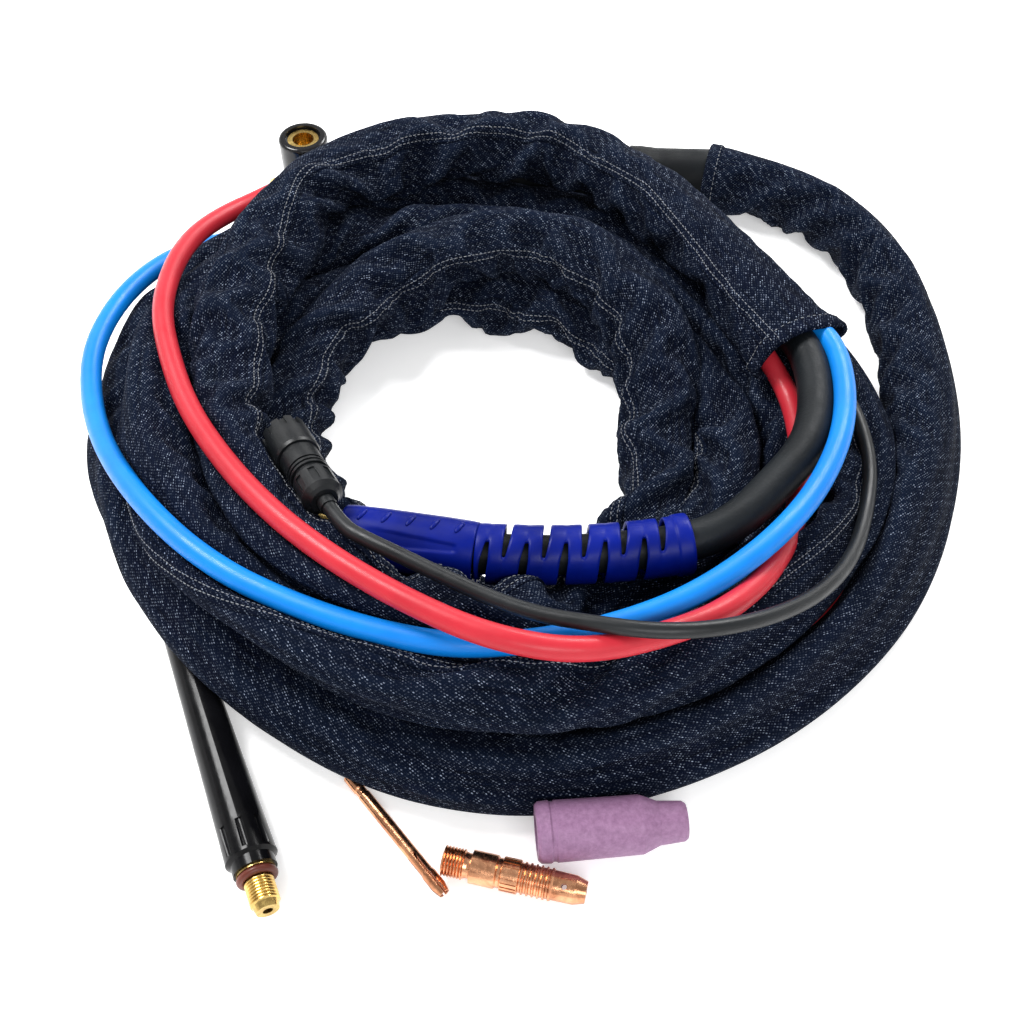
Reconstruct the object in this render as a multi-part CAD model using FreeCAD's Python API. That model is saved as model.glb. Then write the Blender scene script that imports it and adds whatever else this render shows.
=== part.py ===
"""Water-cooled TIG torch with its coiled cable assembly and its loose front parts.

Millimetres, +Z up, lying on the floor.  Places are laid out about a point near the middle of the
coil and are moved to the row's origin when they are written: the middle of the box of the torch
and its loose front parts, at floor level.
"""

import FreeCAD, Part
import math
import os

Vector = FreeCAD.Vector

# ---------------------------------------------------------------- driving dimensions
ORIGIN = Vector(-20.6, 20.5, 0)     # the row's origin, seen from the layout's origin
GAP = 0.3                           # clearance between pieces that don't touch

# torch head and handle, in the torch's own axes: x from the head to the handle's rear
TORCH_PLACE = Vector(-94.5, 189.5, 0)
TORCH_YAW = -1.4                    # degrees about Z
HANDLE_Z = 14.0
HEAD_R, HEAD_BOTTOM, HEAD_TOP = 11.0, 1.5, 33.0
HEAD_CORE_R = 7.0
HEAD_THREAD_R = 4.8                 # both ends of the head take the same thread
HEAD_WAIST_R = 3.4
NECK_R = 8.5
NECK_TUBE_R, NECK_TUBE_PITCH = 2.3, 3.3
HANDLE_FRONT, HANDLE_REAR = 27.0, 187.0
HANDLE_R, HANDLE_WALL = 13.5, 2.4
TRIGGER_X, TRIGGER_LENGTH, TRIGGER_WIDTH = 78.0, 26.0, 9.0
TRIGGER_TRAVEL = 1.8
SCREW_XS = (46.0, 112.0, 172.0)

# cable assembly
POWER_R = 6.8
HOSE_R = 4.0
CONTROL_R = 2.6
SLEEVE_R = 13.5
SLEEVE_HEM_R = 15.0
LAYER = 26.5                        # height of one layer of the coil
COIL_TOP = 46.0                     # height of its upper layer

# machine plug: the body is straight and the strain relief behind it bends with the cable
GRIP_REAR = Vector(-10.8, -47.3, 38)
GRIP_FRONT = Vector(-57.8, -39.2, 38)
RELIEF_END = Vector(59.8, -44.6, 39.8)
PIN_R, PIN_LENGTH = 6.5, 34.0

# control plug
CONTROL_BACK = Vector(-61.5, -39.1, 56.0)
CONTROL_FRONT = Vector(-79.8, -3.2, 48.0)

# loose front parts: (rear end, front end) of each axis
CAP_TAIL, CAP_TIP = Vector(-130.0, -26.0, 5.5), Vector(-73.4, -159.2, 8.9)
COLLET_REAR, COLLET_FRONT = Vector(-53.4, -111.6, 2.45), Vector(-20.8, -151.2, 2.45)
BODY_REAR, BODY_FRONT = Vector(-21.5, -141.6, 5.35), Vector(22.8, -152.1, 5.35)
NOZZLE_REAR, NOZZLE_TIP = Vector(7.5, -134.6, 9.8), Vector(54.6, -130.6, 9.8)

# free routes, from where each lead leaves the sleeve's hem to its own end
POWER_ROUTE = [(102, 62, 43), (110, 41, 43), (109.5, 17, 43), (102.5, -5, 43), (90, -22, 42),
               (79, -34, 41.4), (66, -42.4, 40.4), (50, -45.0, 39.6), (26, -46.1, 39.1),
               (2, -46.9, 38.4)]
BLUE_ROUTE = [(115, 66, 47), (121, 47, 48), (121.3, 22, 48), (116.3, -3, 48), (104, -28, 49),
              (88, -49, 51.5), (70, -65.5, 52.5), (53, -77, 53), (35, -84.8, 53), (17, -90, 53),
              (-1, -92, 52), (-18, -92.5, 52), (-35, -89, 51.5), (-53, -83.5, 51.5),
              (-71, -76, 51.5), (-90, -66, 51.5), (-109, -51, 51), (-128, -29, 47),
              (-146, -1, 39), (-158, 28, 33.5), (-163, 55, 32), (-159, 80, 31), (-150, 101, 28),
              (-139, 121, 21), (-124, 139, 12.5), (-108, 152, 7.6), (-94, 162, 7.4)]
RED_ROUTE = [(97, 52, 33), (104, 35, 31.5), (106, 14, 31), (103.5, -10, 31), (98, -31, 34.5),
             (90, -49.5, 41.5), (79, -67, 47), (64, -82, 53), (47.5, -90.5, 55.5), (30, -97, 58),
             (15, -100, 61.5), (0, -98, 63), (-14, -93, 63), (-29, -84.5, 62), (-45, -74, 61),
             (-61, -62, 60.5), (-78, -46, 59), (-97, -22, 55), (-115, 7, 51.3),
             (-126, 34, 51), (-133, 58, 50), (-134, 84, 47), (-131, 109, 42), (-122, 129, 37),
             (-108, 145, 33.4), (-95, 157, 32.9)]
CONTROL_ROUTE = [(113, 59, 35), (122, 42, 33), (129, 21, 31.5), (130, -3, 31), (124, -26, 32.5),
                 (114, -50, 39), (100, -69, 47), (84, -82.5, 55), (68, -91, 61), (53, -95, 64),
                 (39, -95, 64.5), (25, -92, 63.5), (10, -88, 61.5), (-4, -82, 60.5),
                 (-19, -74, 60.5), (-33, -66, 60.8), (-46, -58.5, 60.6), (-55, -51.7, 58.9),
                 (-61.95, -38.2, 55.8)]
NIPPLE_LENGTH = 28.0

# the sleeve's two free ends, beside the coil's solid
TORCH_END_ROUTE = [(92.5, 184.9, 14), (118, 178, 14), (141, 160, 14), (156, 135, 14),
                   (163, 106, 14), (164, 75, 14), (160, 45, 14), (152, 12, 14)]
MACHINE_END_ROUTE = [(-102, 14, 44.5), (-107, 42, 44.5), (-107, 71, 44.5), (-103, 100, 44),
                     (-91, 130, 43), (-69, 154, 42), (-39, 167, 41.5), (-5, 170, 41.5),
                     (27, 159, 42), (55, 136, 42.5), (76, 107, 43), (94, 77, 43), (109, 46.5, 43)]

# outlines of the coil's two layers, clockwise from the back right
LOWER_OUTER = [(98, 117), (133, 80), (157, 48), (171, 12), (158, -24), (137, -57), (103, -89),
               (60, -112), (26, -121), (-3, -123.5), (-34, -117.4), (-69, -100.8), (-98, -80.5),
               (-125, -51), (-146, -17), (-157, 18), (-160, 52), (-150, 86), (-122, 119),
               (-92, 146), (-50, 165), (5, 169), (55, 150)]
LOWER_INNER = [(45, 65), (46, 30), (42, -10), (8, -47), (-25, -45), (-48, -25), (-72, 15),
               (-74, 50), (-56, 82), (-20, 98), (15, 93)]
UPPER_OUTER = [(60, 110), (80, 60), (85, -40), (60, -92), (20, -110), (-15, -113), (-55, -100),
               (-89, -74), (-115, -38), (-131, 8), (-134, 45), (-127, 84), (-100, 112),
               (-50, 130), (10, 130)]
UPPER_INNER = [(30, 90), (55, 40), (50, -25), (25, -52), (-5, -62), (-40, -60), (-72, -45),
               (-92, -12), (-95, 22), (-88, 62), (-68, 98), (-35, 107), (0, 105)]


# ---------------------------------------------------------------- helpers
def write(name, shape):
    """Move a shape to the row's origin and write it as the node of that name."""
    moved = shape.copy()
    moved.translate(ORIGIN.negative())
    if not moved.isValid() or not moved.Solids:
        raise RuntimeError(name + " isn't a valid solid")
    moved.exportStep("parts/" + name + ".step")


def frame_along(base, direction, up=Vector(0, 0, 1)):
    """A placement whose x axis runs along direction, with its z axis as near up as it can be."""
    x = Vector(direction).normalize()
    y = up.cross(x).normalize()
    return FreeCAD.Placement(base, FreeCAD.Rotation(x, y, x.cross(y), "XZY"))


def turned(profile, placement=None):
    """Solid of revolution about x from (x, radius) points; a last radius above 0 leaves a bore."""
    points = [Vector(x, 0, r) for x, r in profile]
    solid = Part.Face(Part.makePolygon(points + [points[0]])).revolve(Vector(), Vector(1, 0, 0), 360)
    solid = Part.Solid(solid) if solid.ShapeType != "Solid" else solid
    if placement:
        solid.Placement = placement
    return solid


def rod(x0, x1, radius, bore=0.0):
    """A cylinder about x, with a bore if one is given."""
    return turned([(x0, bore), (x0, radius), (x1, radius), (x1, bore)])


def box(x0, x1, y0, y1, z0, z1):
    return Part.makeBox(x1 - x0, y1 - y0, z1 - z0, Vector(x0, y0, z0))


def cut_all(solid, tools):
    return solid.cut(Part.Compound(tools)) if tools else solid


def rounded_path(points):
    """Straight runs joined by the largest tangent arcs that they allow; returns wire, radii, length."""
    corners = [Vector(*p) for p in points]
    edges, radii, last = [], [], corners[0]
    for before, corner, after in zip(corners, corners[1:], corners[2:]):
        into = (corner - before).normalize()
        out = (after - corner).normalize()
        half = into.getAngle(out) / 2
        trim = 0.45 * min((corner - before).Length, (after - corner).Length)
        radii.append(trim / math.tan(half))
        start, end = corner - into * trim, corner + out * trim
        middle_way = (out - into).normalize()
        middle = corner + middle_way * (radii[-1] / math.cos(half) - radii[-1])
        edges.append(Part.LineSegment(last, start).toShape())
        edges.append(Part.Arc(start, middle, end).toShape())
        last = end
    edges.append(Part.LineSegment(last, corners[-1]).toShape())
    wire = Part.Wire(edges)
    return wire, radii, wire.Length


def tube(name, points, radius):
    """A round solid along a route, with its radii and its volume printed as a check."""
    wire, radii, length = rounded_path(points)
    start, ahead = Vector(*points[0]), Vector(*points[1])
    ring = Part.Wire(Part.makeCircle(radius, start, ahead - start))
    solid = wire.makePipeShell([ring], True, False)
    expected = math.pi * radius ** 2 * length
    print(f"{name}: {length:.0f} mm long, tightest radius {min(radii):.0f} mm "
          f"({min(radii) / (2 * radius):.1f} diameters), volume {solid.Volume / expected:.3f} of its "
          f"section times its length")
    return solid


def outline(points):
    """A smooth closed curve through points."""
    curve = Part.BSplineCurve()
    curve.interpolate([Vector(x, y, 0) for x, y in points], PeriodicFlag=True)
    return Part.Wire(curve.toShape())


def layer(outer, inner, bottom, top, soft):
    """A flat ring between two outlines, with its outer top and bottom edges softened."""
    ring = Part.Face([outline(outer)]).extrude(Vector(0, 0, top - bottom))
    ring = ring.makeFillet(soft, [e for e in ring.Edges if e.isClosed() and e.BoundBox.ZLength < 0.1])
    hole = Part.Face([outline(inner)]).extrude(Vector(0, 0, top - bottom))
    ring = ring.cut(hole)
    ring.translate(Vector(0, 0, bottom))
    return ring


# ---------------------------------------------------------------- the torch
def placed(shape):
    """Put a shape drawn in the torch's own axes where the torch lies."""
    moved = shape.copy()
    moved.rotate(Vector(), Vector(0, 0, 1), TORCH_YAW)
    moved.translate(TORCH_PLACE)
    return moved


def upright(x0, x1, radius, bore=0.0):
    """A cylinder about the head's vertical bore."""
    solid = rod(x0, x1, radius, bore)
    solid.rotate(Vector(), Vector(0, 1, 0), -90)
    return solid


def head_core():
    """Brass head: threaded from both ends, with a narrower waist where the collet seats."""
    bore = [(HEAD_BOTTOM + 1, HEAD_THREAD_R), (HEAD_BOTTOM + 12, HEAD_THREAD_R),
            (HEAD_BOTTOM + 14, HEAD_WAIST_R), (HEAD_TOP - 14, HEAD_WAIST_R),
            (HEAD_TOP - 12, HEAD_THREAD_R), (HEAD_TOP - 1.5, HEAD_THREAD_R)]
    outside = [(HEAD_TOP - 1.5, HEAD_CORE_R), (HEAD_BOTTOM + 1, HEAD_CORE_R)]
    core = turned(bore + outside)
    core.rotate(Vector(), Vector(0, 1, 0), -90)
    sockets = [cylinder_x(4.6, 12, NECK_TUBE_R, y, z) for y, z in neck_tube_places()]
    return cut_all(core, sockets)


def cylinder_x(x0, x1, radius, y, z):
    return Part.makeCylinder(radius, x1 - x0, Vector(x0, y, z), Vector(1, 0, 0))


def neck_tube_places():
    """Three tubes on a small triangle about the handle's axis."""
    return [(NECK_TUBE_PITCH * math.sin(a), HANDLE_Z + 1 + NECK_TUBE_PITCH * math.cos(a))
            for a in (0, 2 * math.pi / 3, 4 * math.pi / 3)]


def head_insulator():
    """Moulded cover of the head, with a recess at each mouth and the neck's stub."""
    shell = upright(HEAD_BOTTOM, HEAD_TOP, HEAD_R)
    mouths = [e for e in shell.Edges if e.isClosed()]
    shell = shell.makeFillet(1.6, mouths)
    neck = rod(0, HANDLE_FRONT + 12, NECK_R)
    neck.translate(Vector(0, 0, HANDLE_Z + 1))
    shell = shell.fuse(neck)
    shell = shell.cut(upright(HEAD_BOTTOM - 1, HEAD_TOP + 1, HEAD_CORE_R))
    shell = shell.cut(upright(HEAD_TOP - 3, HEAD_TOP + 1, HEAD_CORE_R + 0.9))
    shell = shell.cut(upright(HEAD_BOTTOM - 1, HEAD_BOTTOM + 2.2, HEAD_CORE_R + 1.2))
    bores = [cylinder_x(HEAD_CORE_R - 1, HANDLE_FRONT + 14, NECK_TUBE_R, y, z)
             for y, z in neck_tube_places()]
    return cut_all(shell, bores).removeSplitter()


def front_gasket():
    """Heat shield ring under the head's front mouth, where the nozzle seats."""
    return upright(0, HEAD_BOTTOM + 1, HEAD_CORE_R + 1.1, HEAD_THREAD_R + 0.7)


def neck_tube(index):
    y, z = neck_tube_places()[index]
    outside = cylinder_x(6.9, HANDLE_FRONT + 34, NECK_TUBE_R - 0.02, y, z)
    return outside.cut(cylinder_x(6.0, HANDLE_FRONT + 35, NECK_TUBE_R - 0.9, y, z))


def handle_outside():
    """The handle's outside: a slim nose, a full middle and a plain rear for the sleeve."""
    profile = [(HANDLE_FRONT, 10.4), (HANDLE_FRONT + 2, 11.4), (HANDLE_FRONT + 14, 12.2),
               (HANDLE_FRONT + 30, HANDLE_R), (HANDLE_REAR - 34, HANDLE_R),
               (HANDLE_REAR - 26, HANDLE_R - 0.9), (HANDLE_REAR, HANDLE_R - 1.1)]
    body = turned([(HANDLE_FRONT, 0)] + profile + [(HANDLE_REAR, 0)])
    grooves = [rod(x, x + 1.6, HANDLE_R + 2, HANDLE_R - 0.8)
               for x in (HANDLE_FRONT + 84 + 6 * i for i in range(7))]
    body = cut_all(body, grooves)
    body.translate(Vector(0, 0, HANDLE_Z))
    return body


def handle_inside():
    """The hollow of the handle, with its front socket for the neck."""
    body = rod(HANDLE_FRONT + 14, HANDLE_REAR + 1, HANDLE_R - HANDLE_WALL)
    body.translate(Vector(0, 0, HANDLE_Z))
    neck = rod(HANDLE_FRONT - 1, HANDLE_FRONT + 15, NECK_R + 0.02)
    neck.translate(Vector(0, 0, HANDLE_Z + 1))
    return body.fuse(neck)


def screw_axis_z():
    return HANDLE_Z - 7.6


def handle_shell(side):
    """One half of the handle: side is +1 for the left half and -1 for the right half."""
    shell = handle_outside().cut(handle_inside())
    posts = [Part.makeCylinder(2.9, 2 * HANDLE_R, Vector(x, -HANDLE_R, screw_axis_z()), Vector(0, 1, 0))
             for x in SCREW_XS]
    solid_core = handle_outside()
    posts = [p.common(solid_core) for p in posts]
    shell = shell.fuse(posts)
    window = box(TRIGGER_X, TRIGGER_X + TRIGGER_LENGTH, -TRIGGER_WIDTH / 2, TRIGGER_WIDTH / 2,
                 HANDLE_Z + 8, HANDLE_Z + HANDLE_R + 4)
    holes = [Part.makeCylinder(1.5, 3 * HANDLE_R, Vector(x, -1.5 * HANDLE_R, screw_axis_z()),
                               Vector(0, 1, 0)) for x in SCREW_XS]
    heads = [Part.makeCylinder(2.9, HANDLE_R, Vector(x, -HANDLE_R - 7.35, screw_axis_z()),
                               Vector(0, 1, 0)) for x in SCREW_XS]
    shell = cut_all(shell, [window] + holes + heads)
    reach = 2 * HANDLE_R
    half = box(HANDLE_FRONT - 1, HANDLE_REAR + 1, 0 if side > 0 else -reach,
               reach if side > 0 else 0, -5, HANDLE_Z + reach)
    return biggest(shell.common(half))


def biggest(shape):
    return max(shape.Solids, key=lambda s: s.Volume)


def handle_screws():
    """Three cross-headed screws that hold the halves together."""
    screws = []
    for x in SCREW_XS:
        shank = Part.makeCylinder(1.45, 14, Vector(x, -7.4, screw_axis_z()), Vector(0, 1, 0))
        head = Part.makeCylinder(2.7, 1.8, Vector(x, -7.4, screw_axis_z()), Vector(0, -1, 0))
        screw = shank.fuse(head).removeSplitter()
        slot = box(x - 1.6, x + 1.6, -9.3, -8.4, screw_axis_z() - 0.3, screw_axis_z() + 0.3)
        cross = box(x - 0.3, x + 0.3, -9.3, -8.4, screw_axis_z() - 1.6, screw_axis_z() + 1.6)
        screws.append(screw.cut(slot.fuse(cross)))
    return Part.Compound(screws)


def trigger_button():
    """A long press button with a domed top and finger grooves."""
    top = HANDLE_Z + HANDLE_R + 2.4
    inset = 0.25
    stem = box(TRIGGER_X + inset, TRIGGER_X + TRIGGER_LENGTH - inset, -TRIGGER_WIDTH / 2 + inset,
               TRIGGER_WIDTH / 2 - inset, HANDLE_Z + 9.2, top)
    dome = Part.makeCylinder(34, TRIGGER_WIDTH, Vector(TRIGGER_X + TRIGGER_LENGTH / 2,
                             -TRIGGER_WIDTH / 2, top - 34), Vector(0, 1, 0))
    stem = stem.common(dome.fuse(box(TRIGGER_X, TRIGGER_X + TRIGGER_LENGTH, -9, 9, 0, top - 4)))
    groove = [Part.makeCylinder(0.5, TRIGGER_WIDTH, Vector(x, -TRIGGER_WIDTH / 2, top + 0.1),
                                Vector(0, 1, 0))
              for x in (TRIGGER_X + 7 + 3 * i for i in range(5))]
    return biggest(cut_all(stem, groove))


def trigger_switch():
    """Snap-action switch with its small plunger."""
    x = TRIGGER_X + 3
    body = box(x, x + 20, -3.2, 3.2, HANDLE_Z - 5.5, HANDLE_Z + 4.0)
    plunger = Part.makeCylinder(1.2, 1.5, Vector(x + 6, 0, HANDLE_Z + 4.0), Vector(0, 0, 1))
    pins = [box(x + 2 + 7 * i, x + 4 + 7 * i, -0.3, 0.3, HANDLE_Z - 8.5, HANDLE_Z - 5.5)
            for i in range(3)]
    return body.fuse([plunger] + pins).removeSplitter()


def trigger_spring():
    """Return spring, as the tube that its coils fill, between the switch and the button."""
    low, high = HANDLE_Z + 4.05, HANDLE_Z + 9.15
    spring = upright(low, high, 2.4, 1.7)
    spring.translate(Vector(TRIGGER_X + 17, 0, 0))
    return spring


# ---------------------------------------------------------------- the machine plug
def grip_frame():
    return frame_along(GRIP_FRONT, GRIP_REAR - GRIP_FRONT)


def grip_length():
    return (GRIP_REAR - GRIP_FRONT).Length


def plug_grip():
    """Plug body: a tapered shell with a recessed panel on each side and raised bars on top."""
    n = grip_length()
    shell = turned([(0, 8.1), (0, 9.6), (2, 10.3), (14, 10.7), (n - 12, 10.7), (n, 10.5),
                    (n, 9.3), (22, 9.3), (22, 8.1)])
    panels = [box(14, n - 8, s * 11.9 - 2.0, s * 11.9 + 2.0, -3.5, 3.5) for s in (-1, 1)]
    shell = cut_all(shell, panels)
    bars = []
    for i in range(5):
        bar = box(-0.7, 0.7, -2.6, 2.6, 10.0, 11.3)
        bar.rotate(Vector(), Vector(0, 0, 1), 25)
        bar.translate(Vector(5 + 8.6 * i, 0, 0))
        bars.append(bar)
    shell = shell.fuse(bars).removeSplitter()
    shell.Placement = grip_frame()
    return shell


def strain_relief():
    """Flexible tail of the plug body: a cone with slots from both sides and a plain end collar."""
    run = RELIEF_END - GRIP_REAR
    n = run.Length
    bore = POWER_R + 0.9
    relief = turned([(2.2, bore), (2.2, 10.4), (n / 2, 10.0), (n - 8, 10.1), (n - 7, 10.4),
                     (n, 10.3), (n, bore + 0.8), (n - 8, bore)])
    slots = []
    for i in range(12):
        x = 4.5 + 5.0 * i
        low, high = (-1.5, 14) if i % 2 else (-14, 1.5)
        slots.append(box(x, x + 2.4, -14, 14, low, high))
    relief = cut_all(relief, slots)
    relief.Placement = frame_along(GRIP_REAR, run)
    return relief


def plug_pin():
    """Brass bayonet pin with its gas bore, its key and the clamp socket inside the body."""
    pin = turned([(-PIN_LENGTH, 2.0), (-PIN_LENGTH, PIN_R - 1), (-PIN_LENGTH + 1, PIN_R),
                  (-PIN_LENGTH + 4, PIN_R), (-PIN_LENGTH + 4, PIN_R - 1.3),
                  (-PIN_LENGTH + 6.4, PIN_R - 1.3), (-PIN_LENGTH + 6.4, PIN_R), (-1, PIN_R),
                  (-1, 8.0), (22, 8.0), (22, 9.2), (44, 9.2), (44, 6.4), (26, 6.4), (26, 2.0)])
    key = box(-PIN_LENGTH + 9, -PIN_LENGTH + 15, -2, 2, PIN_R - 1, PIN_R + 2)
    pin = pin.fuse(key)
    screws = [Part.makeCylinder(2.0, 6, Vector(x, 0, -10), Vector(0, 0, 1)) for x in (31, 39)]
    pin = cut_all(pin, screws)
    pin.Placement = grip_frame()
    return pin


def plug_pin_seal():
    """O-ring in the pin's groove."""
    ring = Part.makeTorus(PIN_R - 0.35, 0.9)
    ring.rotate(Vector(), Vector(0, 1, 0), 90)
    ring.translate(Vector(-PIN_LENGTH + 5.2, 0, 0))
    ring.Placement = grip_frame().multiply(ring.Placement)
    return ring


def plug_grub_screws():
    """Two grub screws that clamp the cable's ferrule in the pin."""
    screws = [Part.makeCylinder(1.95, 2.6, Vector(x, 0, -9.1), Vector(0, 0, 1)) for x in (31, 39)]
    screws = Part.Compound(screws)
    screws.Placement = grip_frame()
    return screws


def plug_ferrule():
    """Copper ferrule on the power cable's strands, in the pin's clamp socket."""
    ferrule = rod(26.5, 45, 6.3, 4.6)
    ferrule.Placement = grip_frame()
    return ferrule


# ---------------------------------------------------------------- the control plug
def control_frame():
    return frame_along(CONTROL_BACK, CONTROL_FRONT - CONTROL_BACK)


def control_length():
    return (CONTROL_FRONT - CONTROL_BACK).Length


def control_shell():
    """Plug shell: threaded ring section, flange for the ring and the open front."""
    n = control_length()
    shell = turned([(8.2, 3.1), (8.2, 6.2), (13.9, 6.2), (13.9, 7.0), (14.9, 7.0), (14.9, 6.3),
                    (15.8, 6.3), (15.8, 7.0), (16.8, 7.0), (16.8, 6.3), (17.7, 6.3), (17.7, 7.0),
                    (n - 15.6, 7.0), (n - 15.6, 6.2), (n - 12.4, 6.2), (n - 12.4, 6.8),
                    (n - 10.6, 6.8), (n - 10.6, 5.9), (n - 1, 5.9), (n - 1, 5.2), (24, 5.2),
                    (24, 3.1)])
    shell.Placement = control_frame()
    return shell


def control_ring():
    """Coupling ring: it turns on the shell, and its rim is notched for the fingers."""
    n = control_length()
    ring = turned([(n - 15.2, 6.3), (n - 15.2, 7.7), (n - 14, 8.1), (n, 8.1), (n, 6.1),
                   (n - 10.4, 6.1), (n - 10.4, 6.9), (n - 12.6, 6.9), (n - 12.6, 6.3)])
    notches = []
    for i in range(10):
        notch = box(n - 4.5, n + 1, -1.1, 1.1, 7.1, 9)
        notch.rotate(Vector(), Vector(1, 0, 0), 36 * i)
        notches.append(notch)
    ring = cut_all(ring, notches)
    ring.Placement = control_frame()
    return ring


def control_insert():
    """Moulded insert that carries the contacts, with a flat on its rim."""
    n = control_length()
    insert = rod(24.1, n - 3, 5.15)
    holes = [Part.makeCylinder(0.75, n, Vector(20, y, z), Vector(1, 0, 0))
             for y, z in contact_places()]
    insert = cut_all(insert, holes)
    insert.Placement = control_frame()
    return insert


def contact_places():
    return [(2.9 * math.cos(a), 2.9 * math.sin(a)) for a in (2 * math.pi * i / 5 for i in range(5))]


def control_contacts():
    n = control_length()
    pins = [Part.makeCylinder(0.73, n - 26.0, Vector(24.1, y, z), Vector(1, 0, 0))
            for y, z in contact_places()]
    pins = Part.Compound(pins)
    pins.Placement = control_frame()
    return pins


def control_nut():
    """Back nut: clamps the cable, with flutes round its body."""
    nut = turned([(0, 3.05), (0, 4.6), (1.2, 5.6), (2.6, 7.1), (11.6, 7.1), (12.6, 6.6),
                  (12.6, 6.25), (8.1, 6.25), (8.1, 3.05)])
    flutes = []
    for i in range(8):
        flute = box(3.8, 10.6, -1.2, 1.2, 6.5, 8)
        flute.rotate(Vector(), Vector(1, 0, 0), 45 * i)
        flutes.append(flute)
    nut = cut_all(nut, flutes)
    nut.Placement = control_frame()
    return nut


def control_gland():
    """Rubber bush between the back nut and the cable."""
    bush = rod(-4.0, 7.9, 3.0, CONTROL_R + 0.12)
    bush.Placement = control_frame()
    return bush


# ---------------------------------------------------------------- water hose ends
def hose_end(route):
    """Frame of a hose's end fitting, in line with the route's last run."""
    before, end = Vector(*route[-2]), Vector(*route[-1])
    return frame_along(end, end - before)


def hose_ferrule(route):
    """Crimped ferrule over the hose's end, with three crimp grooves."""
    bore = HOSE_R + 0.03
    profile = [(-9.0, bore), (-9.0, 5.3)]
    for i in range(3):
        x = -7.8 + 2.6 * i
        profile += [(x, 5.3), (x + 0.4, 4.8), (x + 1.2, 4.8), (x + 1.6, 5.3)]
    ferrule = turned(profile + [(0, 5.3), (0, bore)])
    ferrule.Placement = hose_end(route)
    return ferrule


def hose_nipple(route):
    """Quick-coupling nipple: hexagon, neck and the grooved plug that latches in its socket."""
    nipple = turned([(0.05, 1.8), (0.05, 4.9), (9, 4.9), (9, 3.6), (12, 3.6), (12, 5.3),
                     (17, 5.3), (18.5, 4.4), (21, 4.4), (22.5, 5.3), (26, 5.3), (27, 4.9),
                     (NIPPLE_LENGTH, 4.6), (NIPPLE_LENGTH, 1.8)])
    hexagon = Part.Face(Part.makePolygon([Vector(2, 5.9 * math.cos(a), 5.9 * math.sin(a))
                        for a in (math.pi * i / 3 for i in range(7))])).extrude(Vector(6, 0, 0))
    nipple = nipple.fuse(hexagon.cut(rod(1, 9, 4.0))).removeSplitter()
    nipple.Placement = hose_end(route)
    return nipple


# ---------------------------------------------------------------- the coil
def sleeve_coil():
    """Outer shape of the coiled, sleeved cable: a full lower layer and a partial upper one."""
    lower = layer(LOWER_OUTER, LOWER_INNER, 0, LAYER, 6)
    upper = layer(UPPER_OUTER, UPPER_INNER, LAYER - 8, COIL_TOP, 5)
    upper = upper.cut(box(58, 200, -200, 200, 0, 100)).cut(box(20, 200, 0, 200, 0, 100))
    coil = lower.fuse(upper).removeSplitter()
    grip_way, relief_way = GRIP_FRONT - GRIP_REAR, RELIEF_END - GRIP_REAR
    tunnels = [
        Part.makeCylinder(12.2, grip_length() + 3, GRIP_REAR, grip_way),
        Part.makeCylinder(9.0, grip_length() + PIN_LENGTH + 5, GRIP_REAR, grip_way),
        Part.makeCylinder(11.5, relief_way.Length + 3, GRIP_REAR, relief_way),
        cap_tunnel(),
    ]
    return biggest(cut_all(coil, tunnels))


def cap_tunnel():
    """Room under the coil for the back cap's tail, open to the floor."""
    way = CAP_TIP - CAP_TAIL
    start = CAP_TAIL - Vector(way).normalize() * 6
    room = Part.makeCylinder(7.6, 90, start, way)
    floor_way = Part.makeBox(96, 15.2, 8, Vector(0, -7.6, -8))
    floor_way.Placement = frame_along(start, Vector(way.x, way.y, 0)).multiply(floor_way.Placement)
    return room.fuse(floor_way)


# ---------------------------------------------------------------- loose front parts
def back_cap():
    """Long back cap: a tapered closed tube with flutes at its big end."""
    way = CAP_TIP - CAP_TAIL
    n = way.Length
    cap = turned([(0, 0), (0, 3.6), (1.2, 4.8), (3, 5.2), (n - 30, 7.9), (n - 18, 8.3),
                  (n - 17, 7.0), (n - 13.6, 7.0), (n - 13.6, 3.7), (n - 24, 3.7), (n - 26, 2.2),
                  (6, 2.2), (6, 0)])
    flutes = []
    for i in range(8):
        flute = Part.makeCylinder(1.6, 10, Vector(n - 29, 0, 9.0), Vector(1, 0, 0))
        flute.rotate(Vector(), Vector(1, 0, 0), 45 * i)
        flutes.append(flute)
    cap = cut_all(cap, flutes)
    cap.Placement = frame_along(CAP_TAIL, way)
    return cap


def back_cap_thread():
    """Brass insert with the thread's crests as rings and a bore for the electrode."""
    way = CAP_TIP - CAP_TAIL
    n = way.Length
    profile = [(n - 23.9, 1.6), (n - 23.9, 3.65), (n - 13.5, 3.65), (n - 13.5, 6.2), (n - 12.9, 6.2),
               (n - 12.9, 4.0), (n - 10.2, 4.0), (n - 10.2, 4.2)]
    for i in range(8):
        x = n - 10.2 + i
        profile += [(x + 0.35, 4.7), (x + 0.65, 4.7), (x + 1.0, 4.2)]
    insert = turned(profile + [(n, 3.6), (n, 1.6)])
    insert.Placement = frame_along(CAP_TAIL, way)
    return insert


def back_cap_seal():
    way = CAP_TIP - CAP_TAIL
    seal = Part.makeTorus(5.35, 1.25)
    seal.rotate(Vector(), Vector(0, 1, 0), 90)
    seal.translate(Vector(way.Length - 11.55, 0, 0))
    seal.Placement = frame_along(CAP_TAIL, way).multiply(seal.Placement)
    return seal


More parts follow.
